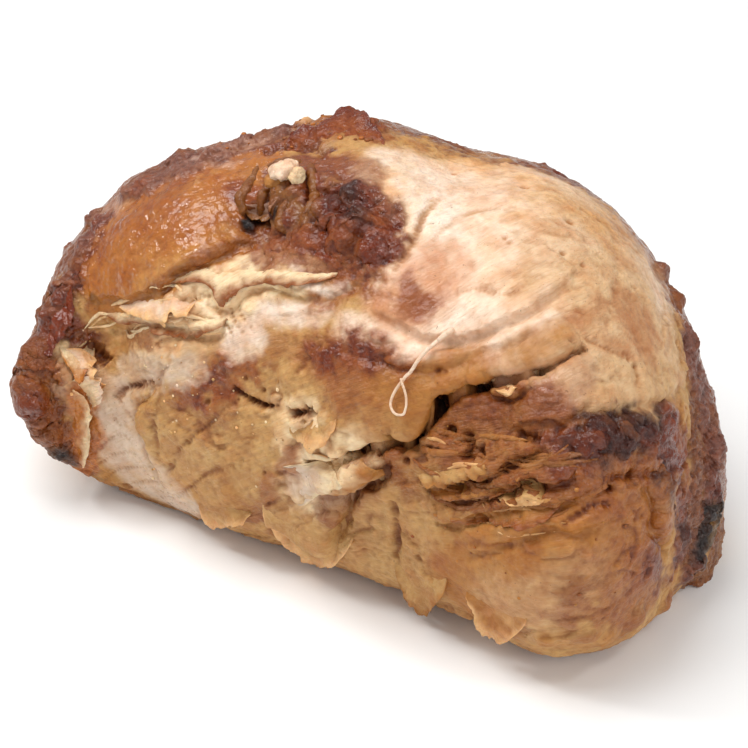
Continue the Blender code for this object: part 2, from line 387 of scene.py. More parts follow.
# %% [markdown]
# ## Painting
#
# The colours of roast meat lie in soft-edged patches: cream where the skin lifted off, tan where air dried
# it, rust and near-black where it scorched. Each patch is a stroke of a named finish along a short route,
# with a radius, a soft edge and a ragged edge. A finish holds a colour, a roughness, and how fibrous and
# how crusty the surface is. Later strokes cover earlier ones, as with paint.
#
# %% Finishes: colour as sRGB hex, roughness, fibre strength, crust strength, torn layers
FIBRE, CRUST, TORN = 4, 5, 6    # where these stand in a row of paint, after red, green, blue and roughness


def linear(hex_colour):
    """An sRGB hex colour as linear red, green and blue."""
    channels = np.array([int(hex_colour[k:k + 2], 16) for k in (0, 2, 4)]) / 255
    return np.where(channels <= 0.04045, channels / 12.92, ((channels + 0.055) / 1.055) ** 2.4)


FINISHES = {
    "cream": ("f0d1b4", 0.42, 0.35, 0.0, 0.0),
    "milk": ("f4dec8", 0.34, 0.35, 0.0, 0.1),
    "beige": ("d6ae80", 0.55, 0.4, 0.1, 0.3),
    "peach": ("f6daae", 0.50, 0.5, 0.1, 0.7),
    "honey": ("f0bc80", 0.45, 0.3, 0.2, 0.4),
    "tan": ("b27838", 0.55, 0.2, 0.2, 0.35),
    "rose_tan": ("d4b092", 0.45, 0.4, 0.1, 0.3),
    "slab_tan": ("c2955a", 0.55, 0.3, 0.3, 0.5),
    "brown_blotch": ("b4794a", 0.55, 0.2, 0.3, 0.0),
    "apricot": ("c47839", 0.42, 0.2, 0.1, 0.0),
    "liver": ("96532a", 0.40, 0.1, 0.3, 0.0),
    "orange_tan": ("985620", 0.45, 0.5, 0.3, 0.7),
    "amber": ("9c591a", 0.26, 0.2, 0.6, 0.6),
    "umber": ("864a17", 0.50, 0.4, 0.6, 0.7),
    "rust": ("8c4410", 0.45, 0.2, 0.7, 0.8),
    "dark_rust": ("702c0d", 0.28, 0.1, 0.9, 0.7),
    "end_crust": ("7c4418", 0.32, 0.2, 0.95, 0.6),
    "scorch": ("3f1609", 0.45, 0.1, 1.0, 0.7),
    "char": ("1a0d0c", 0.45, 0.1, 1.0, 0.5),
    "mauve": ("be9674", 0.45, 0.2, 0.4, 0.0),
    "mauve_pale": ("c59b85", 0.40, 0.3, 0.5, 0.0),
    "mauve_dark": ("7a4a3a", 0.42, 0.3, 0.9, 0.5),
    "cut_pink": ("d8bea4", 0.30, 0.3, 0.0, 0.05),
    "olive": ("84501a", 0.28, 0.2, 0.5, 0.4),
    "shred_brown": ("9a5c25", 0.50, 0.8, 0.5, 1.0),
    "skin_gold": ("ac6828", 0.17, 0.05, 0.3, 0.0),
    "skin_red": ("7c300a", 0.18, 0.1, 0.5, 0.0),
    "skin_yellow": ("94521c", 0.14, 0.05, 0.25, 0.0),
    "skin_pale": ("cf9a58", 0.22, 0.1, 0.3, 0.0),
    "ochre_skin": ("bc7124", 0.28, 0.2, 0.5, 0.4),
    "red_glaze": ("a2654d", 0.12, 0.1, 0.4, 0.0),
    "roast_skin": ("874f26", 0.28, 0.1, 0.6, 0.0),
    "underside": ("b0814e", 0.60, 0.4, 0.3, 0.5),
}


def finish_row(name):
    hex_colour, *feel = FINISHES[name]
    return np.concatenate([linear(hex_colour), feel])


brightest = max(FINISHES, key=lambda name: linear(FINISHES[name][0]).sum())
print(len(FINISHES), "finishes, from", brightest, "to char")

# %% The hidden sides: browned skin behind, paler meat underneath
SKIN_LINE = np.array([(-101, 50), (-90, 66), (-75, 82), (-45, 92), (0, 100), (20, 106), (50, 110), (66, 104),
                      (78, 92), (86, 70), (91, 40), (96, 10), (101, 0)], float)


def lay(sheet, mask, name):
    """Covers the paint with a finish where the mask is 1."""
    sheet["paint"] += mask[..., None] * (finish_row(name) - sheet["paint"])


def paint_ground(sheet):
    """Paints tan meat in front, roast skin with its brown and scorched patches behind, and a paler base."""
    plain = sheet["plain"]
    sheet["paint"] = np.tile(finish_row("slab_tan"), (*plain.shape[:2], 1))
    sheet["edge"] = 0.6 * layered_noise(plain, 9.0, 31) + 0.6 * layered_noise(plain, 2.8, 41, layers=4)
    sheet["worn"] = smoothstep(0.1, 0.5, layered_noise(plain, 3.6, 45, layers=4))
    skin_turn = np.interp(plain[..., 0], SKIN_LINE[:, 0], SKIN_LINE[:, 1])
    turn = np.where(sheet["turn"] < -90, sheet["turn"] + 360, sheet["turn"])
    behind = smoothstep(-5, 6, turn - skin_turn + 12 * sheet["edge"])
    behind *= smoothstep(212, 196, turn + 8 * sheet["edge"])
    lay(sheet, smoothstep(9, 3, plain[..., 2] + 4 * sheet["edge"]), "underside")
    lay(sheet, behind, "roast_skin")
    lay(sheet, behind * 0.4 * smoothstep(0.0, 0.5, layered_noise(plain, 22.0, 51)), "skin_gold")
    lay(sheet, behind * 0.6 * smoothstep(0.0, 0.5, layered_noise(plain, 19.0, 55)), "mauve_dark")
    lay(sheet, behind * 0.9 * smoothstep(0.28, 0.5, layered_noise(plain, 13.0, 61)), "dark_rust")
    lay(sheet, behind * 0.4 * smoothstep(0.2, 0.6, layered_noise(plain, 17.0, 71)), "skin_pale")


print("skin line at", len(SKIN_LINE), "lengths")

# %% Strokes: finish, radius, soft edge, ragged edge, strength, route
STROKES = [
    ("cream", 30, 10, 3, 1, [(22, 76), (41, 84), (58, 79), (45, 69)]),
    ("cream", 14, 6, 2, 1, [(19, 54), (33, 58), (45, 66)]),
    ("milk", 9, 9, 3, 0.55, [(8, 87), (15, 81), (14, 69), (8, 58)]),
    ("milk", 5, 5, 3, 0.6, [(5, 88), (7, 76), (5, 67)]),
    ("honey", 4, 4, 3, 0.4, [(20, 96), (37, 101), (47, 99), (58, 92), (65, 88)]),
    ("beige", 16, 9, 4, 0.7, [(61, 96), (67, 83), (60, 67), (53, 75)]),
    ("beige", 17, 8, 3, 0.9, [(66, 69), (73, 61), (69, 49), (58, 51)]),
    ("mauve", 4, 3, 4, 0.6, [(70, 97), (79, 99), (82, 90)]),
    ("brown_blotch", 6, 4, 3, 0.75, [(67, 70), (73, 67), (71, 63)]),
    ("brown_blotch", 2.6, 3, 2, 0.65, [(52, 60), (57, 63), (60, 67)]),
    ("brown_blotch", 2.6, 3, 2, 0.6, [(60, 57), (65, 57), (73, 56)]),
    ("apricot", 8, 8, 3, 0.7, [(8, 49), (12, 54), (18, 60)]),
    ("liver", 3.4, 4, 4, 0.9, [(11, 54), (13, 52), (15, 52)]),
    ("rose_tan", 1.6, 1.5, 1, 0.5, [(27, 49), (40, 58), (47, 66)]),
    ("milk", 1.3, 1, 1, 0.9, [(6, 57), (11, 66), (14, 74), (21, 85)]),
    ("honey", 6, 4, 4, 0.6, [(2, 78), (3, 69), (5, 61)]),
    ("cream", 5, 3, 1.0, 1, [(-5, 40), (10, 40), (21, 45), (36, 51), (45, 57)]),
    ("tan", 2.0, 3, 2, 0.7, [(-7, 37), (4, 36), (15, 37), (27, 42), (40, 49), (49, 56)]),
    ("tan", 8, 4, 3, 0.9, [(-3, 32), (7, 30), (17, 34), (26, 40)]),
    # painted shade: this umber stroke darkens the belly above the main cleft
    ("umber", 3.5, 3, 3, 0.55, [(8, 36), (4, 32), (2, 27)]),
    ("slab_tan", 17, 5, 3, 1, [(-47, 16), (-37, 6), (-33, -3), (-43, -2)]),
    ("slab_tan", 13, 5, 3, 1, [(-19, 27), (-7, 25), (2, 24)]),
    ("orange_tan", 7, 5, 3, 0.85, [(-7, 32), (-1, 28), (5, 28)]),
    ("tan", 4, 4, 2, 0.8, [(41, 51), (47, 56)]),
    ("rust", 5.5, 4, 5, 0.85, [(-48, 15), (-41, 22), (-33, 30)]),
    ("dark_rust", 2.5, 2, 4, 0.7, [(-45, 16), (-39, 24)]),
    ("rust", 3.5, 3, 4, 0.5, [(-43, 10), (-38, 16)]),
    ("orange_tan", 3.2, 2, 3, 0.7, [(-32, -12), (-26, -3), (-24, 0)]),
    ("orange_tan", 4, 3, 3, 0.5, [(-19, 33), (-25, 33), (-30, 32)]),
    ("cut_pink", 11, 3, 1.5, 1, [(-74, 7), (-71, -2), (-65, -9), (-56, -17)]),
    ("cut_pink", 6, 3, 3.5, 0.8, [(-67, 19), (-55, 24), (-48, 25)]),
    ("milk", 4, 2.5, 1.5, 0.85, [(-42, 42), (-38, 37), (-35, 32)]),
    ("milk", 4, 3, 1.5, 0.9, [(-34, 42), (-32, 37), (-29, 34)]),
    ("milk", 3.5, 3, 1.5, 0.9, [(-31, 42), (-21, 42), (-12, 43)]),
    ("peach", 11, 4, 3, 1, [(-58, 37), (-48, 42), (-37, 49), (-28, 54), (-17, 56)]),
    ("beige", 6, 3, 3, 0.9, [(-66, 36), (-54, 34), (-45, 33)]),
    ("honey", 3, 2, 3, 0.7, [(-72, 33), (-60, 30), (-53, 30)]),
    ("umber", 2.4, 2, 3, 0.7, [(-69, 32), (-58, 30)]),
    ("amber", 5.5, 3, 3, 0.8, [(-12, 48), (-5, 51), (2, 56)]),
    ("milk", 1.6, 1, 1, 1, [(-19, 54), (-16, 51), (-11, 49), (-6, 51)]),
    ("rust", 6, 4, 2.5, 0.9, [(-11, 34), (-5, 36), (1, 36), (7, 34)]),
    ("dark_rust", 3, 2.5, 2.5, 0.9, [(-10, 34), (-5, 37), (0, 37), (3, 34)]),
    ("rust", 8, 4, 4, 0.8, [(-28, 60), (-20, 60), (-12, 58), (-5, 57)]),
    ("olive", 7, 3, 3, 0.9, [(-32, 81), (-25, 75), (-18, 72), (-11, 69)]),
    ("amber", 3, 2, 2, 0.8, [(-11, 58), (-5, 61), (1, 60)]),
    ("dark_rust", 6, 3, 3, 0.95, [(-11, 69), (-3, 66), (2, 63)]),
    ("char", 2.8, 1.5, 2, 0.95, [(-8, 75), (-4, 70), (-2, 67)]),
    ("skin_red", 6, 4, 3, 0.85, [(-18, 85), (-8, 83), (-1, 79)]),
    ("mauve", 3.5, 3, 3, 0.6, [(0, 84), (2, 78)]),
    ("skin_gold", 17, 4, 2, 1, [(-69, 57), (-57, 66), (-45, 75), (-38, 81)]),
    ("skin_gold", 8, 3, 2, 1, [(-66, 48), (-54, 52), (-39, 61)]),
    ("skin_red", 6, 6, 5, 0.6, [(-72, 61), (-62, 67), (-53, 74)]),
    ("skin_yellow", 6, 4, 3, 0.7, [(-43, 63), (-37, 70), (-35, 65)]),
    ("skin_pale", 7, 6, 5, 0.75, [(-60, 51), (-51, 54), (-42, 60)]),
    ("mauve_pale", 4, 4, 4, 0.6, [(-74, 87), (-63, 87), (-51, 90), (-41, 90)]),
    ("mauve_dark", 4, 2.5, 3, 0.85, [(-78, 83), (-82, 72), (-84, 60), (-81, 52)]),
    ("char", 1.8, 1.2, 2, 0.9, [(-79, 52), (-77, 49)]),
    ("umber", 1.8, 1.5, 1, 0.8, [(-59, 45), (-50, 51), (-41, 56), (-33, 63)]),
    ("skin_red", 3.5, 2.5, 3, 0.8, [(-36, 76), (-32, 72), (-32, 67)]),
    ("tan", 4, 3, 3, 0.8, [(-77, 45), (-69, 42), (-60, 43)]),
    ("char", 2.6, 1.2, 1.5, 1, [(-33, 67), (-31, 69), (-26, 70)]),
    ("mauve_dark", 6, 3, 4, 0.9, [(-60, 87), (-48, 93), (-35, 99), (-23, 106)]),
    ("mauve_pale", 2.5, 2, 3, 0.6, [(-47, 94), (-38, 96), (-29, 101)]),
    ("rust", 4.0, 3, 3, 0.75, [(-22, 97), (-13, 96), (-3, 101), (3, 97)]),
    ("dark_rust", 2.2, 1.5, 3, 0.8, [(-28, 94), (-18, 94), (-10, 90)]),
    ("end_crust", 11, 4, 4, 1, [(-90, 56), (-91, 40), (-94, 27), (-94, 0), (-89, -11)]),
    ("amber", 4, 3, 5, 0.8, [(-95, 34), (-95, 15), (-92, -4), (-89, -12)]),
    ("mauve", 3, 2, 3, 0.7, [(-87, 16), (-89, 19)]),
    ("dark_rust", 4, 3, 4, 0.9, [(-86, 58), (-90, 52), (-91, 40)]),
    ("amber", 3, 2, 3, 0.7, [(-89, 51), (-86, 36), (-88, 24)]),
    ("char", 3, 2, 3, 0.9, [(-88, -14), (-86, -18)]),
    ("dark_rust", 4, 3, 3, 0.8, [(-83, 43), (-81, 34), (-80, 28)]),
    ("scorch", 3.5, 3, 4, 0.7, [(-83, 60), (-88, 52), (-87, 40)]),
    ("peach", 3.2, 2, 3, 0.9, [(-86, 33), (-84, 22), (-80, 12)]),
    ("amber", 3.5, 3, 4, 0.8, [(-92, 25), (-92, 7)]),
    ("ochre_skin", 5, 2, 2, 0.9, [(-81, 12), (-81, -2), (-84, -18)]),
    ("peach", 10, 4, 3, 0.9, [(-17, 15), (-12, 6), (-15, 0)]),
    ("cut_pink", 4, 2.5, 2, 0.8, [(-18, 0), (-10, 3), (-2, 7)]),
    ("orange_tan", 3, 2, 2, 0.8, [(-21, 3), (-16, 9), (-14, 12)]),
    ("orange_tan", 5, 3, 3, 0.7, [(-25, -14), (-18, -17), (-13, -24)]),
    ("peach", 7, 3, 2, 0.9, [(-10, 9), (1, 14), (4, 12)]),
    ("umber", 6, 3, 3, 0.75, [(-8, -3), (-1, 6), (3, 7)]),
    ("slab_tan", 11, 5, 3, 1, [(0, -8), (10, 0), (8, -11), (18, -15)]),
    ("shred_brown", 15, 6, 4, 1, [(17, 21), (28, 24), (41, 32), (53, 30), (42, 24)]),
    ("umber", 6, 5, 4, 0.6, [(15, 27), (30, 34), (40, 37), (49, 39)]),
    ("slab_tan", 6, 4, 4, 0.6, [(16, 16), (22, 10), (20, 6)]),
    ("umber", 4, 3, 4, 0.65, [(27, 14), (37, 19), (49, 25)]),
    ("red_glaze", 4.5, 3, 2, 0.85, [(46, 42), (50, 45), (54, 49)]),
    ("beige", 7, 6, 3, 0.6, [(54, 49), (61, 46), (70, 49)]),
    ("dark_rust", 8, 5, 4, 0.8, [(52, 32), (58, 33), (71, 34), (81, 33)]),
    ("scorch", 5.5, 3, 4, 0.9, [(56, 36), (62, 37), (71, 39), (76, 40)]),
    ("amber", 7, 4, 4, 0.8, [(69, 28), (74, 24), (78, 15)]),
    ("umber", 3, 2, 3, 0.4, [(49, 21), (58, 25), (67, 27)]),
    ("tan", 15, 6, 3, 1, [(31, -4), (41, 3), (52, 9), (61, 10)]),
    ("beige", 8, 6, 3, 0.5, [(37, -6), (46, -2), (54, 4)]),
    ("rust", 5, 4, 5, 0.6, [(53, -2), (61, -2), (69, 0)]),
    ("orange_tan", 6, 4, 4, 0.6, [(69, 6), (75, -3), (68, -4)]),
    ("amber", 9, 7, 5, 0.55, [(61, 24), (64, 15), (60, 4), (70, -3)]),
    ("tan", 4, 4, 3, 0.5, [(49, 16), (56, 15)]),
    ("dark_rust", 4, 3, 4, 0.8, [(-75, 81), (-80, 67), (-83, 56)]),
    ("skin_gold", 10, 5, 3, 0.8, [(-66, 58), (-57, 61), (-48, 66)]),
    ("char", 3.2, 1.5, 3, 0.9, [(-8, 70), (-5, 74), (-2, 69)]),
    ("dark_rust", 7, 3, 4, 0.95, [(-10, 63), (-3, 61), (3, 61)]),
    ("dark_rust", 6, 3, 3, 0.9, [(-13, 76), (-3, 72), (4, 70)]),
    ("dark_rust", 4, 3, 3, 0.7, [(-28, 66), (-17, 63)]),
    ("rust", 6, 3, 4, 0.8, [(80, 39), (83, 24), (83, 7)]),
    ("scorch", 4, 2.5, 4, 0.85, [(60, 36), (69, 37), (76, 36)]),
    ("umber", 4, 3, 3, 0.8, [(18, 32), (29, 36), (45, 40)]),
    ("tan", 5, 5, 3, 0.7, [(6, 30), (11, 28), (12, 28), (17, 33)]),
    ("slab_tan", 4, 4, 3, 0.6, [(3, 22), (6, 22)]),
    ("umber", 4, 3, 4, 0.6, [(52, 1), (59, 3)]),
    ("dark_rust", 3, 2.5, 4, 0.7, [(72, 6), (79, -3), (81, 0)]),
    ("mauve_dark", 8, 3, 4, 0.95, [(88, 75), (92, 60), (92, 39), (89, 16), (88, -2)]),
    ("skin_red", 3, 2, 3, 0.7, [(78, 42), (81, 27), (81, 12)]),
    ("char", 3.5, 2, 4, 0.9, [(92, 14), (91, -2), (88, -6)]),
    ("dark_rust", 4.5, 3, 4, 0.8, [(73, 37), (81, 25), (84, 10), (83, -2)]),
    ("end_crust", 7, 4, 3, 0.9, [(99, -4), (97, -20), (93, -26)]),
    ("scorch", 2.5, 2, 4, 0.8, [(75, 28), (79, 19), (86, 1)]),
    ("end_crust", 4, 3, 4, 0.9, [(88, 54), (88, 34), (88, 16), (87, -2)]),
]


def paint_strokes(sheet):
    """Lays each stroke over the ones before, with its distance stretched and shrunk by noise at its edge."""
    for finish, radius, soft, ragged, strength, route in STROKES:
        soft = 1.1 * soft + 0.6
        found, distance, _, _, _ = near_route(sheet, route, radius + soft + 2 * ragged)
        distance = distance + 1.9 * ragged * sheet["edge"][found]
        mask = strength * smoothstep(radius + soft / 2, radius - soft / 2, distance)
        mask = mask * (1 - 0.3 * sheet["worn"][found])
        sheet["paint"][found] += mask[:, None] * (finish_row(finish) - sheet["paint"][found])


def paint_clefts(sheet):
    """Darkens the bottoms of clefts with painted shade, umber and near-black, partly as dried juice."""
    # painted shade: umber in the clefts, and near-black char paint where they are deepest
    lay(sheet, 0.7 * smoothstep(0.6, 2.6, sheet["cleft"]), "umber")
    lay(sheet, 0.8 * smoothstep(2.6, 4.6, sheet["cleft"]), "char")


print(len(STROKES), "strokes")

# %% Crusty nubs: finish, radius, place
BUMPS = [
    ("umber", 4.5, (-94, 40)), ("umber", 4.0, (-92, 45)), ("umber", 5.0, (-96, 21)),
    ("umber", 5.0, (-94, 0)), ("umber", 4.0, (-91, -6)), ("umber", 4.5, (-89, 58)),
    ("dark_rust", 4.0, (-89, 51)), ("amber", 2.6, (-101, -83)), ("amber", 2.4, (-86, 24)),
    ("char", 3.2, (-89, -15)), ("umber", 3.0, (-91, -4)), ("dark_rust", 3.0, (-94, 15)),
    ("dark_rust", 2.8, (-96, 7)), ("char", 3.0, (-86, -18)), ("dark_rust", 4.0, (-85, 61)),
    ("umber", 3.4, (-82, 72)), ("mauve_dark", 3.4, (-80, 79)), ("mauve_dark", 3.0, (-79, 99)),
    ("mauve_dark", 3.4, (-66, 88)), ("rust", 2.8, (-62, 88)), ("mauve_dark", 3.6, (-54, 101)),
    ("umber", 3.0, (-52, 105)), ("mauve_dark", 4.0, (-43, 94)), ("mauve_dark", 4.0, (-36, 102)),
    ("umber", 3.4, (-29, 103)), ("mauve_dark", 3.6, (-23, 106)), ("amber", 2.4, (-18, 111)),
    ("honey", 2.0, (-17, 111)), ("ochre_skin", 2.6, (-11, 110)), ("umber", 3.2, (-5, 106)),
    ("umber", 3.0, (0, 103)), ("rust", 2.8, (3, 102)), ("dark_rust", 4.6, (-8, 69)),
    ("char", 3.8, (-5, 72)), ("dark_rust", 4.4, (-1, 67)), ("dark_rust", 4.6, (-4, 65)),
    ("rust", 4.0, (2, 65)), ("char", 3.0, (-2, 67)), ("rust", 4.4, (-7, 61)), ("rust", 4.0, (-17, 61)),
    ("olive", 3.6, (-14, 67)), ("dark_rust", 3.0, (-22, 67)), ("umber", 4.0, (-3, 60)),
    ("rust", 3.6, (-26, 60)), ("dark_rust", 3.6, (2, 61)), ("char", 4.2, (94, 14)),
    ("char", 4.0, (93, 1)), ("char", 4.2, (90, -3)), ("dark_rust", 4.0, (94, 25)),
    ("mauve_dark", 4.2, (95, 39)), ("mauve_dark", 4.0, (94, 46)), ("umber", 3.6, (95, 63)),
    ("dark_rust", 3.6, (87, -9)), ("mauve_dark", 4.0, (87, 78)), ("umber", 3.6, (86, 96)),
    ("mauve_dark", 3.0, (82, 101)), ("scorch", 3.6, (59, 37)), ("scorch", 3.0, (65, 36)),
    ("scorch", 3.4, (71, 40)), ("dark_rust", 3.4, (55, 34)), ("dark_rust", 3.6, (78, 43)),
    ("orange_tan", 2.6, (57, -9)), ("orange_tan", 3.0, (70, -9)), ("tan", 3.6, (62, -12)),
    ("rust", 3.4, (81, -17)), ("tan", 2.6, (48, -12)),
]


def raise_bumps(sheet):
    """Raises burnt nubs of skin and meat: each bulges by about half its radius, with a ragged outline."""
    for finish, radius, spot in BUMPS:
        found, distance, _, _, _ = near_route(sheet, [spot], radius * 2.2)
        points = sheet["plain"][found]
        rough = layered_noise(points, 3.2, 47, layers=4)
        mask = smoothstep(1.5 * radius, 0.4 * radius, distance * (1 + 0.8 * rough))
        sheet["points"][found] += (radius * mask * (0.42 + 0.5 * rough))[:, None] * sheet["out"][found]
        sheet["paint"][found] += 0.75 * mask[:, None] * (finish_row(finish) - sheet["paint"][found])


print(len(BUMPS), "nubs")

# %% [markdown]
# ## Fine relief
#
# Muscle shows as fine parallel ridges, which run a different way in each muscle. Streak noise along a few
# directions gives them, weighted by where each muscle is. Crusty places get rounder lumps. What is finer
# than about a millimetre is left to the material's bump.
#
# %% Muscle directions: name, direction, radius of influence, route
MUSCLES = [
    ("breast", (0.86, 0.42, 0.28), 30, [(10, 70), (35, 75), (60, 75)]),
    ("slab", (0.70, -0.35, 0.60), 20, [(-50, 5), (-30, 10), (-10, 25)]),
    ("shreds", (0.95, -0.10, 0.26), 22, [(10, 10), (35, 18), (60, 22)]),
]


def share_muscles(sheet):
    """How much each muscle counts at each point: exp(-(distance / reach) squared), shared out to 1."""
    shares = []
    for _, _, reach, route in MUSCLES:
        distance = np.full(sheet["plain"].shape[:2], np.inf)
        for sample in smooth_route(route, 6.0):
            distance = np.minimum(distance, np.linalg.norm(sheet["plain"] - sample, axis=-1))
        shares.append(np.exp(-((distance / reach) ** 2)) + 1e-4)
    shares = np.stack(shares, axis=-1)
    sheet["muscle"] = shares / shares.sum(axis=-1, keepdims=True)


def grain(sheet, width, length, seed):
    """Streak noise along each muscle's direction, mixed by the muscles' shares."""
    return sum(
        sheet["muscle"][..., k] * streaks(sheet["plain"], direction, width, length, seed + k)
        for k, (_, direction, _, _) in enumerate(MUSCLES))


print(len(MUSCLES), "muscle directions")

# %% Relief of fibres, torn layers, shreds, crust and gentle swells
LAYER_RUN = np.array([0.88, -0.24, 0.41])


def torn_layers(sheet):
    """Thin overlapping layers, each ending in a ragged drop: noise counted in steps, as a saw-tooth. The rims
    are browned; the feet of the steps get painted shade, partly as juice dried there."""
    plain = sheet["plain"]
    squeezed = plain - 0.45 * (plain @ LAYER_RUN)[..., None] * LAYER_RUN
    level = 2.6 * layered_noise(squeezed, 17.0, 141, layers=5)
    part = level - np.floor(level)
    torn = sheet["paint"][..., TORN]
    patchy = smoothstep(-0.25, 0.25, layered_noise(plain, 12.0, 151))
    rim = smoothstep(0.60, 0.84, part) * smoothstep(0.96, 0.86, part)
    shaded_foot = smoothstep(0.9, 0.97, part) + smoothstep(0.14, 0.0, part)
    lay(sheet, 0.45 * torn * patchy * rim, "orange_tan")
    # painted shade at the foot of each drop, partly dried juice
    lay(sheet, 0.4 * torn * patchy * shaded_foot, "umber")
    return torn * (part - smoothstep(0.86, 1.0, part)) * (0.6 + 0.8 * patchy)


def shade_hollows(sheet, relief):
    """Painted shade darkens what lies below its surroundings, painted light lifts what stands proud."""
    level = relief
    for _ in range(12):
        level = sum(np.roll(level, step, axis) for axis in (0, 1) for step in (1, -1)) / 4
    hollow = np.clip((level - relief) / 0.45, -1, 1)[..., None]
    hollow_shade_tint = np.array([0.66, 0.48, 0.32])
    # painted shade in the hollows, tinted a warm brown, and painted light on what stands proud
    sheet["paint"][..., :3] *= 1 - np.maximum(hollow, 0) * (1 - hollow_shade_tint) + np.maximum(-hollow, 0) * 0.10


def raise_relief(sheet):
    """Adds the fine relief and takes the cleft field away, along the normals of the folded surface."""
    plain = sheet["plain"]
    fibre, crust = sheet["paint"][..., FIBRE].copy(), sheet["paint"][..., CRUST].copy()
    wide, fine = grain(sheet, 3.2, 26.0, 80), grain(sheet, 1.2, 11.0, 90)
    shredded = smoothstep(0.6, 1.0, fibre)
    lumps = layered_noise(plain, 5.0, 101)
    blisters = 1 - np.abs(layered_noise(plain, 3.4, 111))
    crumbs = layered_noise(plain, 1.3, 131, layers=2)
    relief = fibre * (0.35 * wide + 0.22 * fine) + 0.12 * crumbs
    relief += shredded * (1.5 * (0.5 - np.abs(wide)) - 0.7 * np.abs(fine))
    relief += crust * (0.7 * lumps + 0.9 * (blisters - 0.6) + 0.3 * crumbs)
    relief += smoothstep(0.75, 1.0, crust) * (1.1 * lumps + 1.3 * (blisters - 0.6))
    relief += 1.5 * torn_layers(sheet) + 0.25 * lumps - sheet["cleft"]
    shade_hollows(sheet, relief)
    sheet["paint"][..., :3] *= (1 + 0.10 * (0.3 + fibre) * fine + 0.08 * crumbs)[..., None]
    warmth = layered_noise(plain, 11.0, 161, layers=5)[..., None]
    sheet["paint"][..., :3] *= 1 - np.maximum(warmth, 0) * np.array([0.16, 0.40, 0.75])
    sheet["paint"][..., :3] *= 1 - np.minimum(warmth, 0) * np.array([0.08, 0.16, 0.30])
    relief += 0.9 * layered_noise(plain, 14.0, 121)
    normals = grid_normals(sheet["points"], sheet["around"])
    sheet["points"] += relief[..., None] * normals
    sheet["points"][..., 2] = np.maximum(sheet["points"][..., 2], 0.0)


def finish_sheet(sheet):
    """Takes a sheet through every step of shaping and painting."""
    for step in (raise_lobes, press_folds, cut_clefts, press_pits, paint_ground, paint_strokes, raise_bumps,
                 paint_clefts, share_muscles, raise_relief):
        step(sheet)
    return sheet


finish_sheet(body)
body_low, body_high = body["points"].min(axis=(0, 1)), body["points"].max(axis=(0, 1))
print("body spans", np.round(body_low, 1), np.round(body_high, 1))

# %% Turn closed grids into a mesh
def closed_faces(rings, spokes, copies):
    """For each copy, quads between neighbouring rings, and a fan from each end ring to its pole vertex."""
    index = np.arange(rings * spokes).reshape(rings, spokes)
    ahead = np.roll(index, -1, axis=1)
    quads = np.stack([index[:-1], index[1:], ahead[1:], ahead[:-1]], axis=-1).reshape(-1, 4)
    first, last = rings * spokes, rings * spokes + 1
    start = np.stack([np.full(spokes, first), index[0], ahead[0]], axis=-1)
    end = np.stack([np.full(spokes, last), ahead[-1], index[-1]], axis=-1)
    step = (rings * spokes + 2) * np.arange(copies)[:, None, None]
    fans = np.concatenate([start, end])
    return (quads + step).reshape(-1, 4).tolist() + (fans + step).reshape(-1, 3).tolist()


def with_poles(grids):
    """Flattens grids of values and adds each one's two pole rows, the means of its end rings."""
    flat = grids.reshape(len(grids), -1, grids.shape[-1])
    ends = grids[:, [0, -1]].mean(axis=2)
    return np.concatenate([flat, ends], axis=1).reshape(-1, grids.shape[-1])


def inside_out(grid):
    """Whether the quads of a closed grid, taken in ring and spoke order, face inwards."""
    along, around = grid[1:] - grid[:-1], np.roll(grid, -1, axis=1) - grid
    facing = np.cross(along, around[:-1])
    return (facing * (grid[:-1] - grid.mean(axis=1, keepdims=True)[:-1])).sum() < 0


def add_mesh(name, points, faces, material):
    """Makes a smooth-shaded piece from points in millimetres, which rides with the body of the part."""
    mesh = bpy.data.meshes.new(name)
    mesh.from_pydata((points * MM).tolist(), [], faces)
    mesh.shade_smooth()
    mesh.materials.append(material)
    piece = bpy.data.objects.new(name, mesh)
    bpy.context.scene.collection.objects.link(piece)
    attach(piece, "root")
    return piece


def add_painted(name, grids, paint, muscle):
    """A closed meat piece from an array of grids, with its colour, feel and muscle shares on its vertices."""
    if inside_out(grids[0]):
        grids, paint, muscle = (values[:, :, ::-1] for values in (grids, paint, muscle))
    piece = add_mesh(name, with_poles(grids), closed_faces(*grids.shape[1:3], len(grids)), meat)
    for field, values in (("tint", paint[..., :3]), ("feel", paint[..., 3:6]), ("muscle", muscle)):
        stored = piece.data.attributes.new(field, "FLOAT_VECTOR", "POINT")
        stored.data.foreach_set("vector", np.ascontiguousarray(with_poles(values), np.float32).ravel())
    return piece


print("a body grid has", len(closed_faces(RINGS - 1, SPOKES, 1)), "faces")

# %% [markdown]
# ## The meat's material
#
# Cooked poultry is moist protein: light enters it, scatters and comes back a little warmer, so the shader
# has some subsurface scattering. Colour, roughness, fibre and crust come from the painted fields. On top of
# them noise gives what is too fine for the mesh: mottling 6 mm across, muscle streaks 0.7 mm wide in each
# muscle's own direction, and specks of spice and dried juice.
#
# %% One function adds a node, with its settings and its links
def add_node(tree, kind, settings=None, **links):
    """Adds a node, sets its properties, and feeds its inputs with values or with other nodes' outputs. An
    input is named by its socket's name with spaces as underscores, or by its number as in_0, in_1."""
    node = tree.nodes.new(kind)
    for key, value in (settings or {}).items():
        setattr(node, key, value)
    for key, value in links.items():
        socket = node.inputs[int(key[3:])] if key.startswith("in_") else node.inputs[key.replace("_", " ")]
        if isinstance(value, bpy.types.NodeSocket):
            tree.links.new(value, socket)
        else:
            socket.default_value = value
    return node


def new_material(name):
    """An empty node material with its output, returned with its tree."""
    material = bpy.data.materials.new(name)
    material.use_nodes = True
    material.node_tree.nodes.clear()
    return material, material.node_tree


def colour(hex_colour):
    return (*linear(hex_colour), 1.0)


print("node helpers ready")

# %% Cooked turkey meat: painted colour, moist, with fine muscle grain
def direction_euler(direction):
    """The rotation whose X axis points along a direction."""
    return Vector(direction).to_track_quat("X", "Z").to_euler()


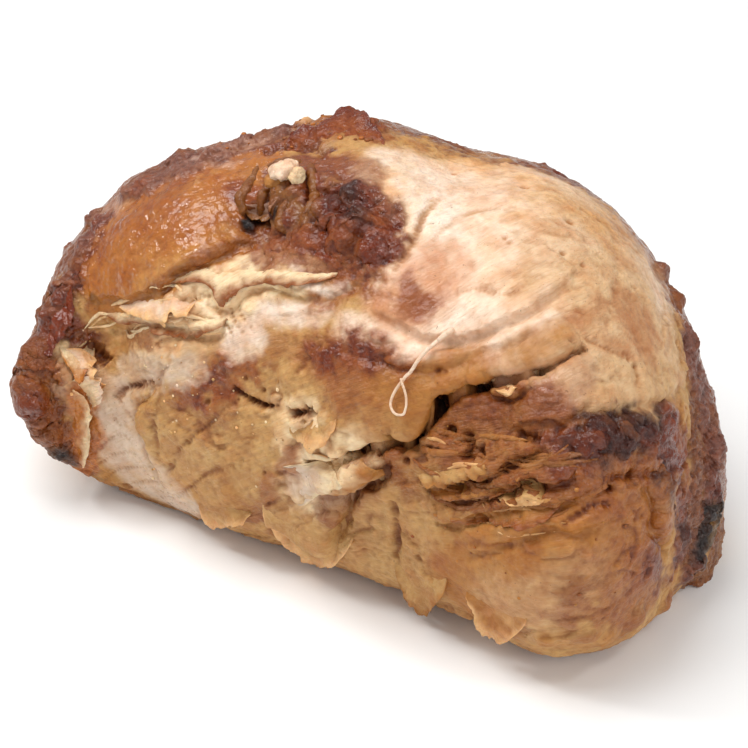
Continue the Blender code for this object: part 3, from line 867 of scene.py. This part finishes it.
meat, tree = new_material("cooked_turkey_meat")
here = add_node(tree, "ShaderNodeTexCoord").outputs["Object"]
tint = add_node(tree, "ShaderNodeAttribute", {"attribute_name": "tint"}).outputs["Vector"]
feel = add_node(tree, "ShaderNodeAttribute", {"attribute_name": "feel"}).outputs["Vector"]
muscle = add_node(tree, "ShaderNodeAttribute", {"attribute_name": "muscle"}).outputs["Vector"]
feel_parts = add_node(tree, "ShaderNodeSeparateXYZ", Vector=feel).outputs
muscle_parts = add_node(tree, "ShaderNodeSeparateXYZ", Vector=muscle).outputs

streak = 0.0
for part, (_, direction, _, _) in zip(muscle_parts, MUSCLES):
    turned = add_node(tree, "ShaderNodeMapping", {"vector_type": "TEXTURE"}, Vector=here,
                      Rotation=direction_euler(direction), Scale=(9 * MM, 0.7 * MM, 0.7 * MM))
    fibres = add_node(tree, "ShaderNodeTexNoise", Vector=turned.outputs[0], Scale=1.0, Detail=3.0,
                      Roughness=0.6)
    streak = add_node(tree, "ShaderNodeMath", {"operation": "MULTIPLY_ADD"}, in_0=fibres.outputs["Fac"],
                      in_1=part, in_2=streak).outputs[0]

mottle, pebble, speck = (
    add_node(tree, "ShaderNodeTexNoise", Vector=here, Scale=1 / (size * MM), Detail=detail).outputs["Fac"]
    for size, detail in ((6.0, 4.0), (1.9, 2.0), (0.9, 1.0)))
print("grain, mottling, pebbling and specks")

# %% Colour of the meat: what drives a layer, its range, strength, where it shows, how it mixes, its colour
COLOUR_LAYERS = [
    (mottle, 0.42, 0.68, 0.45, 1.0, "MULTIPLY", "d9a878"),
    (streak, 0.50, 0.66, 0.50, feel_parts[1], "MULTIPLY", "d9a878"),
    (streak, 0.48, 0.34, 0.10, feel_parts[1], "SCREEN", "ffe9d6"),
    (pebble, 0.50, 0.70, 0.75, feel_parts[2], "MULTIPLY", "b0703f"),
    (speck, 0.74, 0.78, 0.50, 1.0, "MIX", "6b3f22"),
]
coloured = tint
for driver, low, high, strength, where, mode, hex_colour in COLOUR_LAYERS:
    level = add_node(tree, "ShaderNodeMapRange", Value=driver, From_Min=low, From_Max=high, To_Max=strength)
    level = add_node(tree, "ShaderNodeMath", {"operation": "MULTIPLY"}, in_0=level.outputs[0], in_1=where)
    coloured = add_node(tree, "ShaderNodeMix", {"data_type": "RGBA", "blend_type": mode},
                        in_0=level.outputs[0], in_6=coloured, in_7=colour(hex_colour)).outputs[2]
print(len(COLOUR_LAYERS), "colour layers")

# %% Relief, gloss and scattering of the meat
pebbled = add_node(tree, "ShaderNodeMath", {"operation": "ADD"}, in_0=feel_parts[2], in_1=0.25)
pebbled = add_node(tree, "ShaderNodeMath", {"operation": "MULTIPLY"}, in_0=pebble, in_1=pebbled.outputs[0])
fibrous = add_node(tree, "ShaderNodeMath", {"operation": "MULTIPLY"}, in_0=streak, in_1=feel_parts[1])
height = add_node(tree, "ShaderNodeMath", {"operation": "MULTIPLY_ADD"}, in_0=fibrous.outputs[0], in_1=1.3,
                  in_2=pebbled.outputs[0])
bump = add_node(tree, "ShaderNodeBump", Height=height.outputs[0], Strength=0.9, Distance=1.1 * MM)
moisture = add_node(tree, "ShaderNodeMapRange", Value=pebble, To_Min=-0.175, To_Max=0.175)
gloss = add_node(tree, "ShaderNodeMath", {"operation": "ADD", "use_clamp": True}, in_0=feel_parts[0],
                 in_1=moisture.outputs[0])
glaze = add_node(tree, "ShaderNodeMapRange", Value=feel_parts[0], From_Min=0.60, From_Max=0.16,
                 To_Min=0.03, To_Max=0.5)
shader = add_node(tree, "ShaderNodeBsdfPrincipled", {"subsurface_method": "RANDOM_WALK"}, Base_Color=coloured,
                  Roughness=gloss.outputs[0], Normal=bump.outputs[0], IOR=1.38, Subsurface_Weight=0.10,
                  Subsurface_Radius=(1.0, 0.45, 0.22), Subsurface_Scale=2.2 * MM,
                  Coat_Weight=glaze.outputs[0], Coat_Roughness=0.08, Coat_Normal=bump.outputs[0])
add_node(tree, "ShaderNodeOutputMaterial", Surface=shader.outputs[0])
print("the meat's material has", len(tree.nodes), "nodes")

# %% Fine sheets: name, lengths from and to, turns from and to, spacing
FINE_SHEETS = [
    ("torn_left", (-100.6, -4), (-42, 52), 0.37),
    ("torn_right", (-9, 100.6), (-42, 58), 0.42),
    ("crown", (-97, 98), (46, 112), 0.48),
    ("back", (-97, 98), (106, 194), 0.75),
]
RIM = 3.0          # width of a sheet's rim
RIM_DIVE = 1.2     # how far the rim dives under the body
UNDER = 3.5        # how far a sheet's inner wall lies under the sheet
BODY_SINK = 2.0    # how far the body sinks under a sheet
ARC_SHARE = 0.88   # evens out the count of rings, as the lump's outline curves


def fine_sheet(lengths, turns, spacing):
    """A finished sheet whose rim dives under the body and which closes underneath with a coarse inner wall.
    It is laid out as rings that go over the top and back below, so that it closes like the body does."""
    angles = np.arcsin(np.clip(np.array(lengths) / HALF_LENGTH, -1, 1))
    turn_range = np.radians(turns)
    middle = place([(np.mean(lengths), turn) for turn in np.linspace(*turns, 30)])
    width = np.linalg.norm(np.diff(middle, axis=0), axis=1).sum()
    count_along = int(np.ptp(angles) * HALF_LENGTH * ARC_SHARE / spacing)
    count_around = int(width / spacing)
    sheet = finish_sheet(new_sheet(np.linspace(*angles, count_along), np.linspace(*turn_range, count_around)))
    edge_along = np.minimum(np.arange(count_along), np.arange(count_along)[::-1]) * spacing
    edge_around = np.minimum(np.arange(count_around), np.arange(count_around)[::-1]) * spacing
    inside = np.minimum.outer(edge_along, edge_around)
    sheet["points"] -= (RIM_DIVE * smoothstep(RIM, 0, inside))[..., None] * sheet["out"]
    sheet["points"][..., 2] = np.maximum(sheet["points"][..., 2], 0.02)
    keep = np.linspace(count_around - 2, 1, 12).astype(int)
    for key in ("points", "paint", "muscle"):
        wall = sheet[key][:, keep]
        if key == "points":
            wall = wall - UNDER * sheet["out"][:, keep]
        sheet[key] = np.concatenate([sheet[key], wall], axis=1)
    return sheet


def sink_under(sheet, lengths, turns):
    """Sinks the body below a fine sheet, except near the sheet's rim, where both are the same surface."""
    x, turn = sheet["plain"][..., 0], np.where(sheet["turn"] < -90, sheet["turn"] + 360, sheet["turn"])
    inside = np.minimum(np.minimum(x - lengths[0], lengths[1] - x) - RIM,
                        np.minimum(turn - turns[0], turns[1] - turn) * 1.2 - RIM)
    sheet["sunk"] = np.maximum(sheet["sunk"], BODY_SINK * smoothstep(0, 3.0, inside))


def add_sheet(name, sheet):
    return add_painted(name, *(sheet[key][None] for key in ("points", "paint", "muscle")))


body["whole"] = body["points"].copy()
body["sunk"] = np.zeros(body["plain"].shape[:2])
for name, lengths, turns, spacing in FINE_SHEETS:
    piece = add_sheet("meat_" + name, fine_sheet(lengths, turns, spacing))
    sink_under(body, lengths, turns)
    print(name, len(piece.data.polygons), "faces")

body["points"] -= body["sunk"][..., None] * body["out"]
body["points"][..., 2] = np.maximum(body["points"][..., 2], 0.0)
turkey = add_sheet("turkey_meat", body)
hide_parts("roast_turkey")
print("body", len(turkey.data.polygons), "faces")

# %% [markdown]
# ## Flaps, gristle, strand, fibres and crumbs
#
# What hangs free of the lump is made as pieces of its own: layers of meat that curl off it, the gristle of
# the joint, a loose strand, bundles of fibre, and crumbs. A worked-out surface with two parameters gives
# each of them, laid on the finished body by reading the body's grid at a place.
#
# %% Reading the finished body, and smaller closed grids
def surface_at(places):
    """Points and outward directions of the finished body at (x, turn) places, blended from its grid."""
    row = (np.arcsin(np.clip(places[..., 0] / HALF_LENGTH, -1, 1)) + np.pi / 2) / (np.pi / RINGS) - 1
    row = np.clip(row, 0, RINGS - 2.001)
    column = (np.radians(places[..., 1]) + np.pi) / (2 * np.pi / SPOKES) % SPOKES
    first_row, first_column = np.floor(row).astype(int), np.floor(column).astype(int) % SPOKES
    s, t = (row - first_row)[..., None], (column - np.floor(column))[..., None]
    next_column = (first_column + 1) % SPOKES

    def read(grid):
        near = grid[first_row, first_column] * (1 - t) + grid[first_row, next_column] * t
        far = grid[first_row + 1, first_column] * (1 - t) + grid[first_row + 1, next_column] * t
        return near * (1 - s) + far * s

    return read(body["whole"]), read(body["out"])


def along_curve(corners, u):
    """A Catmull-Rom curve through corners, read at u from 0 to 1."""
    corners = np.array(corners, float)
    return spline(corners, u * (len(corners) - 1))


def muscle_share(shape, muscle):
    """Muscle shares that all name one muscle."""
    return np.broadcast_to(np.eye(3)[muscle], (*shape, 3))


def shaded_paint(first, second, share, points):
    """Paint from one finish to another, with blotches a few millimetres across."""
    share = np.clip(share + 0.5 * layered_noise(points, 4.0, 161), 0, 1)[..., None]
    return finish_row(first) * (1 - share) + finish_row(second) * share


print("surface at the crest", np.round(surface_at(np.array([[0.0, 90.0]]))[0], 1))

# %% Flaps: name, two finishes, lift, thickness, ragged edge, muscle's number, attached edge, free edge
FLAPS = [
    ("ribbon", "ochre_skin", "peach", 2.6, 0.7, 0.15, 0,
     [(-85, 16), (-86, 4), (-87, -4), (-84, -22)], [(-78, 15), (-78, 6), (-79, -2), (-81, -21)]),
    ("frill_low", "cream", "honey", 4.0, 0.6, 0.5, 1,
     [(-87, 34), (-85, 22), (-81, 10)], [(-80, 33), (-75, 21), (-71, 14)]),
    ("frill_mid", "peach", "cream", 3.4, 0.6, 0.5, 1,
     [(-85, 19), (-83, 12), (-80, 6)], [(-79, 22), (-73, 16), (-70, 12)]),
    ("left_skin", "skin_red", "dark_rust", 2.6, 0.8, 0.4, 0,
     [(-83, 61), (-89, 54), (-91, 40)], [(-80, 51), (-85, 40), (-88, 27)]),
    ("frill_high", "peach", "ochre_skin", 3.0, 0.6, 0.5, 1,
     [(-87, 37), (-83, 36), (-79, 30)], [(-86, 27), (-81, 21), (-76, 21)]),
    ("scallop", "peach", "orange_tan", 1.1, 0.8, 0.35, 0,
     [(-54, 49), (-43, 54), (-33, 54), (-20, 54), (-8, 54)],
     [(-52, 42), (-42, 46), (-38, 42), (-34, 46), (-27, 49), (-19, 48), (-11, 48)]),
    ("frayed_a", "peach", "orange_tan", 1.5, 0.7, 0.45, 1,
     [(-73, 42), (-59, 42), (-47, 40), (-38, 39)],
     [(-76, 34), (-64, 34), (-53, 33), (-44, 33), (-35, 36)]),
    ("frayed_b", "cream", "honey", 2.4, 0.6, 0.5, 1,
     [(-69, 43), (-56, 45), (-46, 43)], [(-67, 37), (-55, 37), (-45, 37)]),
    ("right_flap", "peach", "tan", 1.3, 1.0, 0.25, 2,
     [(-17, 10), (-14, 6), (-13, 1)], [(4, 15), (3, 10), (-1, 6), (-10, -2)]),
    ("pink_flap", "cut_pink", "peach", 1.0, 0.8, 0.3, 2,
     [(-23, 3), (-22, 0), (-18, -2)], [(-10, 10), (-3, 7), (-7, 0)]),
    ("rag_a", "slab_tan", "honey", 2.4, 1.0, 0.5, 0,
     [(-46, -9), (-38, -8), (-31, -9)], [(-47, -33), (-40, -24), (-34, -15), (-31, -14)]),
    ("rag_b", "slab_tan", "honey", 1.5, 1.2, 0.3, 0,
     [(-27, -3), (-18, -2), (-10, -2), (-4, -6)], [(-28, -27), (-18, -29), (-12, -38), (-5, -20)]),
    ("rag_c", "slab_tan", "tan", 3.6, 1.4, 0.5, 0,
     [(7, -11), (15, -8), (22, -6)], [(11, -26), (16, -33), (20, -22), (24, -14)]),
    ("rag_d", "tan", "honey", 3.0, 1.2, 0.4, 0,
     [(28, -6), (36, -4), (44, -4)], [(30, -14), (36, -20), (43, -14)]),
    ("lens", "peach", "honey", 0.9, 1.2, 0.15, 1,
     [(26, 40), (35, 45), (44, 49)], [(26, 39), (31, 42), (37, 40), (40, 45)]),
    ("ridge_flap", "rust", "dark_rust", 2.0, 0.8, 0.4, 0,
     [(-22, 92), (-13, 92), (-4, 92), (5, 93)], [(-22, 103), (-13, 101), (-3, 106), (4, 102)]),
    ("grey_flap", "mauve_pale", "olive", 2.2, 0.8, 0.3, 0,
     [(-34, 74), (-29, 75), (-23, 74)], [(-34, 67), (-30, 67), (-24, 69)]),
    ("mound_flap", "slab_tan", "honey", 1.0, 1.0, 0.25, 0,
     [(-19, 16), (-14, 19), (-6, 21)], [(-19, 9), (-12, 12), (-5, 16)]),
    ("shred_a", "slab_tan", "tan", 1.6, 0.9, 0.45, 2,
     [(14, 15), (23, 21), (32, 25)], [(15, 10), (23, 16), (35, 22)]),
    ("shred_b", "tan", "shred_brown", 1.6, 0.9, 0.45, 2,
     [(17, 12), (31, 19), (42, 27)], [(18, 9), (30, 15), (43, 24)]),
    ("shred_c", "slab_tan", "honey", 1.2, 0.8, 0.35, 2,
     [(34, 18), (41, 24), (46, 22)], [(36, 16), (41, 18), (46, 19)]),
    ("shred_d", "tan", "orange_tan", 1.4, 0.9, 0.45, 2,
     [(23, 9), (36, 16), (49, 22)], [(23, 4), (37, 12), (51, 18)]),
]


def make_flap(name, finish, edge_finish, lift, thickness, ragged, muscle, attached, free, seed):
    """A layer that rises from its attached edge to lift at its free edge. It is a grid of rings along the
    flap, each of which goes out over the top and back underneath; its edge and its height wander by noise."""
    length = np.linalg.norm(np.diff(place(attached), axis=0), axis=1).sum() + 10
    u, v = np.linspace(0, 1, int(length / 0.45)), np.linspace(0, 1, 26)
    inner, outer = along_curve(attached, u), along_curve(free, u)
    spot = np.stack([u * length, np.full_like(u, seed * 9.0), np.zeros_like(u)], axis=-1)
    reach = 1 + ragged * (layered_noise(spot, 7.0, seed, layers=4) + 0.15 * noise(spot, 1.6, seed + 5))
    reach *= np.sin(np.pi * np.clip(u, 0.01, 0.99)) ** 0.35
    places = inner[:, None] + (outer - inner)[:, None] * (v[None, :, None] * reach[:, None, None])
    base, out = surface_at(places)
    wave = 0.7 * layered_noise(base, 5.0, 171 + seed)
    wave += 0.5 * streaks(base, MUSCLES[muscle][1], 1.3, 9.0, 181 + seed)
    rise = np.sin(np.pi * np.clip(u, 0.01, 0.99))[:, None] ** 0.5 * lift * v**1.6 * (1 + 0.5 * wave)
    rise += 0.5 * (wave + torn_saw(base, seed)) * v
    half = 0.5 * thickness * (1 - 0.75 * v**3)
    sunk = 1.5 * (1 - v) ** 2
    top = base + (rise + half - sunk)[..., None] * out
    under = base + (rise - half - sunk - 0.6 * (1 - v))[..., None] * out
    grid = np.concatenate([top, under[:, ::-1]], axis=1)
    share = smoothstep(0.45, 1.0, np.concatenate([v, v[::-1]]))[None, :] + 0.25 * noise(grid, 2.0, seed)
    paint = shaded_paint(finish, edge_finish, share, grid)
    grid[..., 2] = np.maximum(grid[..., 2], 0.05)
    return add_painted("flap_" + name, grid[None], paint[None], muscle_share(grid.shape[:2], muscle)[None])


def torn_saw(points, seed):
    """Thin steps across a flap: noise counted in steps, as a saw-tooth."""
    level = 2.0 * layered_noise(points, 9.0, 191 + seed, layers=4)
    part = level - np.floor(level)
    return part - smoothstep(0.84, 1.0, part)


for seed, flap in enumerate(FLAPS):
    make_flap(*flap, seed)
print(len(FLAPS), "flaps")

# %% Lumps: the gristle of the joint and the crumbs are small rough balls
def ball_grid(rings, spokes):
    """Directions over a ball, as rings from one pole to the other."""
    down = np.linspace(0, np.pi, rings + 2)[1:-1]
    around = np.linspace(0, 2 * np.pi, spokes, endpoint=False)
    down, around = np.meshgrid(down, around, indexing="ij")
    return np.stack([np.sin(down) * np.cos(around), np.sin(down) * np.sin(around), np.cos(down)], axis=-1)


def make_lumps(name, finishes, radii, places, stand, rough, rings=22, spokes=30, squash=0.6):
    """Lumps squashed against the body, many in one piece: balls whose radius wanders by noise, with their
    centres standing off the body by a share of their radius."""
    centres, out = surface_at(np.array(places, float))
    radii = np.array(radii, float)[:, None, None, None]
    ball = ball_grid(rings, spokes)[None]
    ball = ball - (1 - squash) * (ball * out[:, None, None]).sum(axis=-1, keepdims=True) * out[:, None, None]
    points = centres[:, None, None] + radii * (stand * out[:, None, None] + ball)
    bumps = layered_noise(points, 4.0, 201, layers=4) - 0.6 * np.abs(layered_noise(points, 2.2, 205))
    points = points + radii * rough * bumps[..., None] * ball
    points[..., 2] = np.maximum(points[..., 2], 0.05)
    base = np.stack([finish_row(finish) for finish in finishes])[:, None, None]
    paint = np.broadcast_to(base, (*points.shape[:3], 7)).copy()
    paint[..., :3] *= (1 + 0.5 * bumps)[..., None]
    return add_painted(name, points, paint, muscle_share(points.shape[:3], 1))


print("lumps ready")

# %% The joint: a gristle knob with a chip, folds of olive gristle around it, and the strand with its loop
make_lumps("gristle_knob", ["cream", "peach", "tan", "cream"], [3.8, 2.8, 2.6, 1.8],
           [(-21, 79), (-17.5, 78), (-24, 77), (-18.5, 81)], 0.3, 0.5, rings=30, spokes=40, squash=0.7)


def make_tube(name, finish, edge_finish, path, radii, seed, sides=14, wander=0.25, muscle=0):
    """A tube around a path of points: circles square to it, whose radius wanders by noise."""
    tangents = np.gradient(path, axis=0)
    tangents /= np.linalg.norm(tangents, axis=1, keepdims=True)
    across = np.cross(tangents, np.array([0.1, -0.6, 0.8]))
    across /= np.linalg.norm(across, axis=1, keepdims=True)
    up = np.cross(across, tangents)
    around = np.linspace(0, 2 * np.pi, sides, endpoint=False)[None, :, None]
    ring = np.cos(around) * across[:, None] + np.sin(around) * up[:, None]
    grid = path[:, None] + radii[:, None, None] * ring
    grid = grid + radii[:, None, None] * wander * layered_noise(grid, 2.5, 211 + seed)[..., None] * ring
    paint = shaded_paint(finish, edge_finish, 0.3, grid)
    return add_painted(name, grid[None], paint[None], muscle_share(grid.shape[:2], muscle)[None])


# Radius and places of each fold of gristle
OLIVE_FOLDS = [
    (1.9, [(-35, 68), (-34, 74), (-32, 79), (-30, 87)]), (1.7, [(-31, 68), (-29, 73), (-27, 78), (-24, 84)]),
    (1.8, [(-17, 65), (-14, 71), (-14, 78), (-15, 85)]), (1.6, [(-22, 64), (-23, 69), (-21, 73)]),
    (1.8, [(-27, 86), (-22, 84), (-17, 85)]), (1.7, [(-26, 70), (-24, 74), (-25, 78)]),
]
for k, (radius, route) in enumerate(OLIVE_FOLDS):
    u = np.linspace(0, 1, 60)
    spots, out = surface_at(along_curve(route, u))
    girth = radius * np.sin(np.pi * np.clip(u, 0.02, 0.98)) ** 0.4
    make_tube(f"olive_fold_{k}", "olive", "umber", spots - 0.6 * out, girth, k, wander=0.6)

# The strand's places, each with its height over the body
STRAND = [(23, 49, 0.4), (19, 45, 2.5), (15, 40, 2.2), (11, 34, 2.0), (9, 31, 1.8), (8, 28, 1.6),
          (9.4, 26.6, 1.8), (11.4, 27.6, 2.2), (12, 31, 2.6), (10.5, 34, 3.0)]
u = np.linspace(0, 1, 160)
strand = along_curve(STRAND, u)
spots, out = surface_at(strand[:, :2])
girth = 0.34 + 0.5 * (1 - u) ** 4
make_tube("loop_strand", "cream", "milk", spots + strand[:, 2:] * out, girth, 31, sides=10, wander=0.15)
print("joint and strand")

# %% Bundles of fibre: name, finishes, count, lengths, radii, height, corner places, turn per millimetre
BUNDLES = [
    ("shreds", ("shred_brown", "tan"), 26, (6, 20), (0.4, 1.1), 0.3, (13, 14), (50, 30), 0.34),
    ("shreds_pale", ("honey", "tan"), 14, (6, 18), (0.3, 0.8), 0.6, (14, 10), (46, 24), 0.34),
    ("frays", ("peach", "honey"), 18, (6, 18), (0.3, 0.7), 0.7, (-76, 33), (-44, 44), -0.05),
]


def make_bundles(name, finishes, count, lengths, radii, height, low, high, slope, seed):
    """Many short tapered tubes that follow the muscle over the body, all in one piece."""
    random = np.random.default_rng(seed)
    share_x, share_turn = random.random((2, count, 1))
    u = np.linspace(0, 1, 26)
    length = random.uniform(*lengths, (count, 1))
    x = low[0] + (high[0] - low[0]) * share_x + (u - 0.5) * length
    middle = low[1] + (high[1] - low[1]) * share_turn
    middle = middle + 0.3 * max(slope, 0.0) * (high[0] - low[0]) * (share_x - 0.5)
    turn = middle + slope * (u - 0.5) * length + random.normal(0, 2.0, (count, 1)) * np.sin(np.pi * u)
    turn = turn + random.normal(0, 0.1, (count, 1)) * (u - 0.5) * length
    spots, out = surface_at(np.stack([np.clip(x, -99, 99), turn], axis=-1))
    arch = height * (random.random((count, 1)) * np.sin(np.pi * u) ** 0.6 - 0.5)
    path = spots + arch[..., None] * out
    tangents = np.gradient(path, axis=1)
    tangents /= np.linalg.norm(tangents, axis=-1, keepdims=True)
    across = np.cross(out, tangents)
    around = np.linspace(0, 2 * np.pi, 10, endpoint=False)[:, None]
    ring = np.cos(around) * across[:, :, None] + 0.7 * np.sin(around) * out[:, :, None]
    girth = random.uniform(*radii, (count, 1)) * np.sin(np.pi * np.clip(u, 0.03, 0.97)) ** 0.5
    grid = path[:, :, None] + girth[..., None, None] * ring
    grid = grid + 0.5 * girth[..., None, None] * layered_noise(grid, 3.0, seed)[..., None] * ring
    share = random.random((count, 1, 1)) ** 1.5 + np.zeros(grid.shape[:3])
    paint = shaded_paint(*finishes, share, grid)
    paint[..., :3] *= random.uniform(0.8, 1.1, (count, 1, 1, 1))
    return add_painted("fibres_" + name, grid, paint, muscle_share(grid.shape[:3], 2))


for seed, bundle in enumerate(BUNDLES):
    make_bundles(*bundle, seed + 41)
print(sum(bundle[2] for bundle in BUNDLES), "bundles")

# %% Crumbs: finishes, count, radii, corner places
CRUMBS = [
    (("honey", "slab_tan", "peach"), 50, (0.2, 0.6), (-62, -12), (-20, 26)),
    (("peach", "cream", "honey"), 26, (0.2, 0.5), (-88, 8), (-44, 42)),
    (("tan", "orange_tan", "amber"), 50, (0.2, 0.6), (10, -2), (66, 30)),
    (("amber", "ochre_skin", "umber"), 60, (0.3, 0.9), (-46, 94), (6, 112)),
]
for k, (finishes, count, radii, low, high) in enumerate(CRUMBS):
    random = np.random.default_rng(61 + k)
    spots = random.uniform(low, high, (count, 2))
    names = random.choice(finishes, count)
    make_lumps(f"crumbs_{k}", names, random.uniform(*radii, count), spots, 0.1, 1.1, rings=7, spokes=10)
print(sum(crumb[1] for crumb in CRUMBS), "crumbs")

# %% [markdown]
# ## Floor, light and camera
#
# A plain pale floor and soft lights show the meat as a food studio would: one broad light from above and a
# little to the left, a weaker one from the right, and a bright room all round. Two small lights add the
# sparks that wet skin gives.
#
# %% Stage and light
floor_mesh = bpy.data.meshes.new("floor")
FLOOR_REACH = 3.0
corners = [(FLOOR_REACH * x, FLOOR_REACH * y, 0) for x, y in ((-1, -1), (1, -1), (1, 1), (-1, 1))]
floor_mesh.from_pydata(corners, [], [(0, 1, 2, 3)])
# Matt white card takes the shadow softly and adds no colour of its own.
floor_material, tree = new_material("matt_white_card")
floor_shader = add_node(tree, "ShaderNodeBsdfPrincipled", Base_Color=colour("fbfbfa"), Roughness=0.9)
add_node(tree, "ShaderNodeOutputMaterial", Surface=floor_shader.outputs[0])
floor_mesh.materials.append(floor_material)
floor = bpy.data.objects.new("floor", floor_mesh)
bpy.context.scene.collection.objects.link(floor)

AIM = Vector((0.0022, -0.001, 0.046))    # the middle of the view, in metres


def add_area_light(name, place_at, size, watts):
    """A square soft light at a place, turned to face the meat."""
    lamp = bpy.data.lights.new(name, "AREA")
    lamp.size = size
    lamp.energy = watts
    light_object = bpy.data.objects.new(name, lamp)
    light_object.location = place_at
    light_object.rotation_euler = (AIM - Vector(place_at)).to_track_quat("-Z", "Y").to_euler()
    bpy.context.scene.collection.objects.link(light_object)


# Name, place in metres, size in metres, watts
LIGHTS = [
    ("key_light", (-0.25, 0.05, 1.0), 0.6, 6.4),
    ("fill_light", (0.7, -0.8, 0.6), 0.7, 3.0),
    ("left_spark", (-0.62, 0.08, 0.72), 0.12, 1.7),
    ("right_spark", (0.50, -0.25, 0.85), 0.10, 0.8),
]
for light in LIGHTS:
    add_area_light(*light)

room = bpy.data.worlds.new("bright_room")
room.use_nodes = True
background = room.node_tree.nodes["Background"]
background.inputs["Color"].default_value = (1.0, 1.0, 1.0, 1.0)
background.inputs["Strength"].default_value = 0.47
bpy.context.scene.world = room
bpy.context.scene.view_settings.view_transform = "Standard"
print(len(LIGHTS), "lights and a bright room")

# %% Camera
CAMERA_DISTANCE = 0.592
CAMERA_ELEVATION = np.radians(35.0)

camera_data = bpy.data.cameras.new("camera")
camera_data.lens = 100.0
camera_data.sensor_width = 36.0
camera = bpy.data.objects.new("camera", camera_data)
camera.location = AIM + CAMERA_DISTANCE * Vector((0.0, -np.cos(CAMERA_ELEVATION), np.sin(CAMERA_ELEVATION)))
camera.rotation_euler = (AIM - camera.location).to_track_quat("-Z", "Y").to_euler()
bpy.context.scene.collection.objects.link(camera)
bpy.context.scene.camera = camera
print("camera at", [round(value, 3) for value in camera.location])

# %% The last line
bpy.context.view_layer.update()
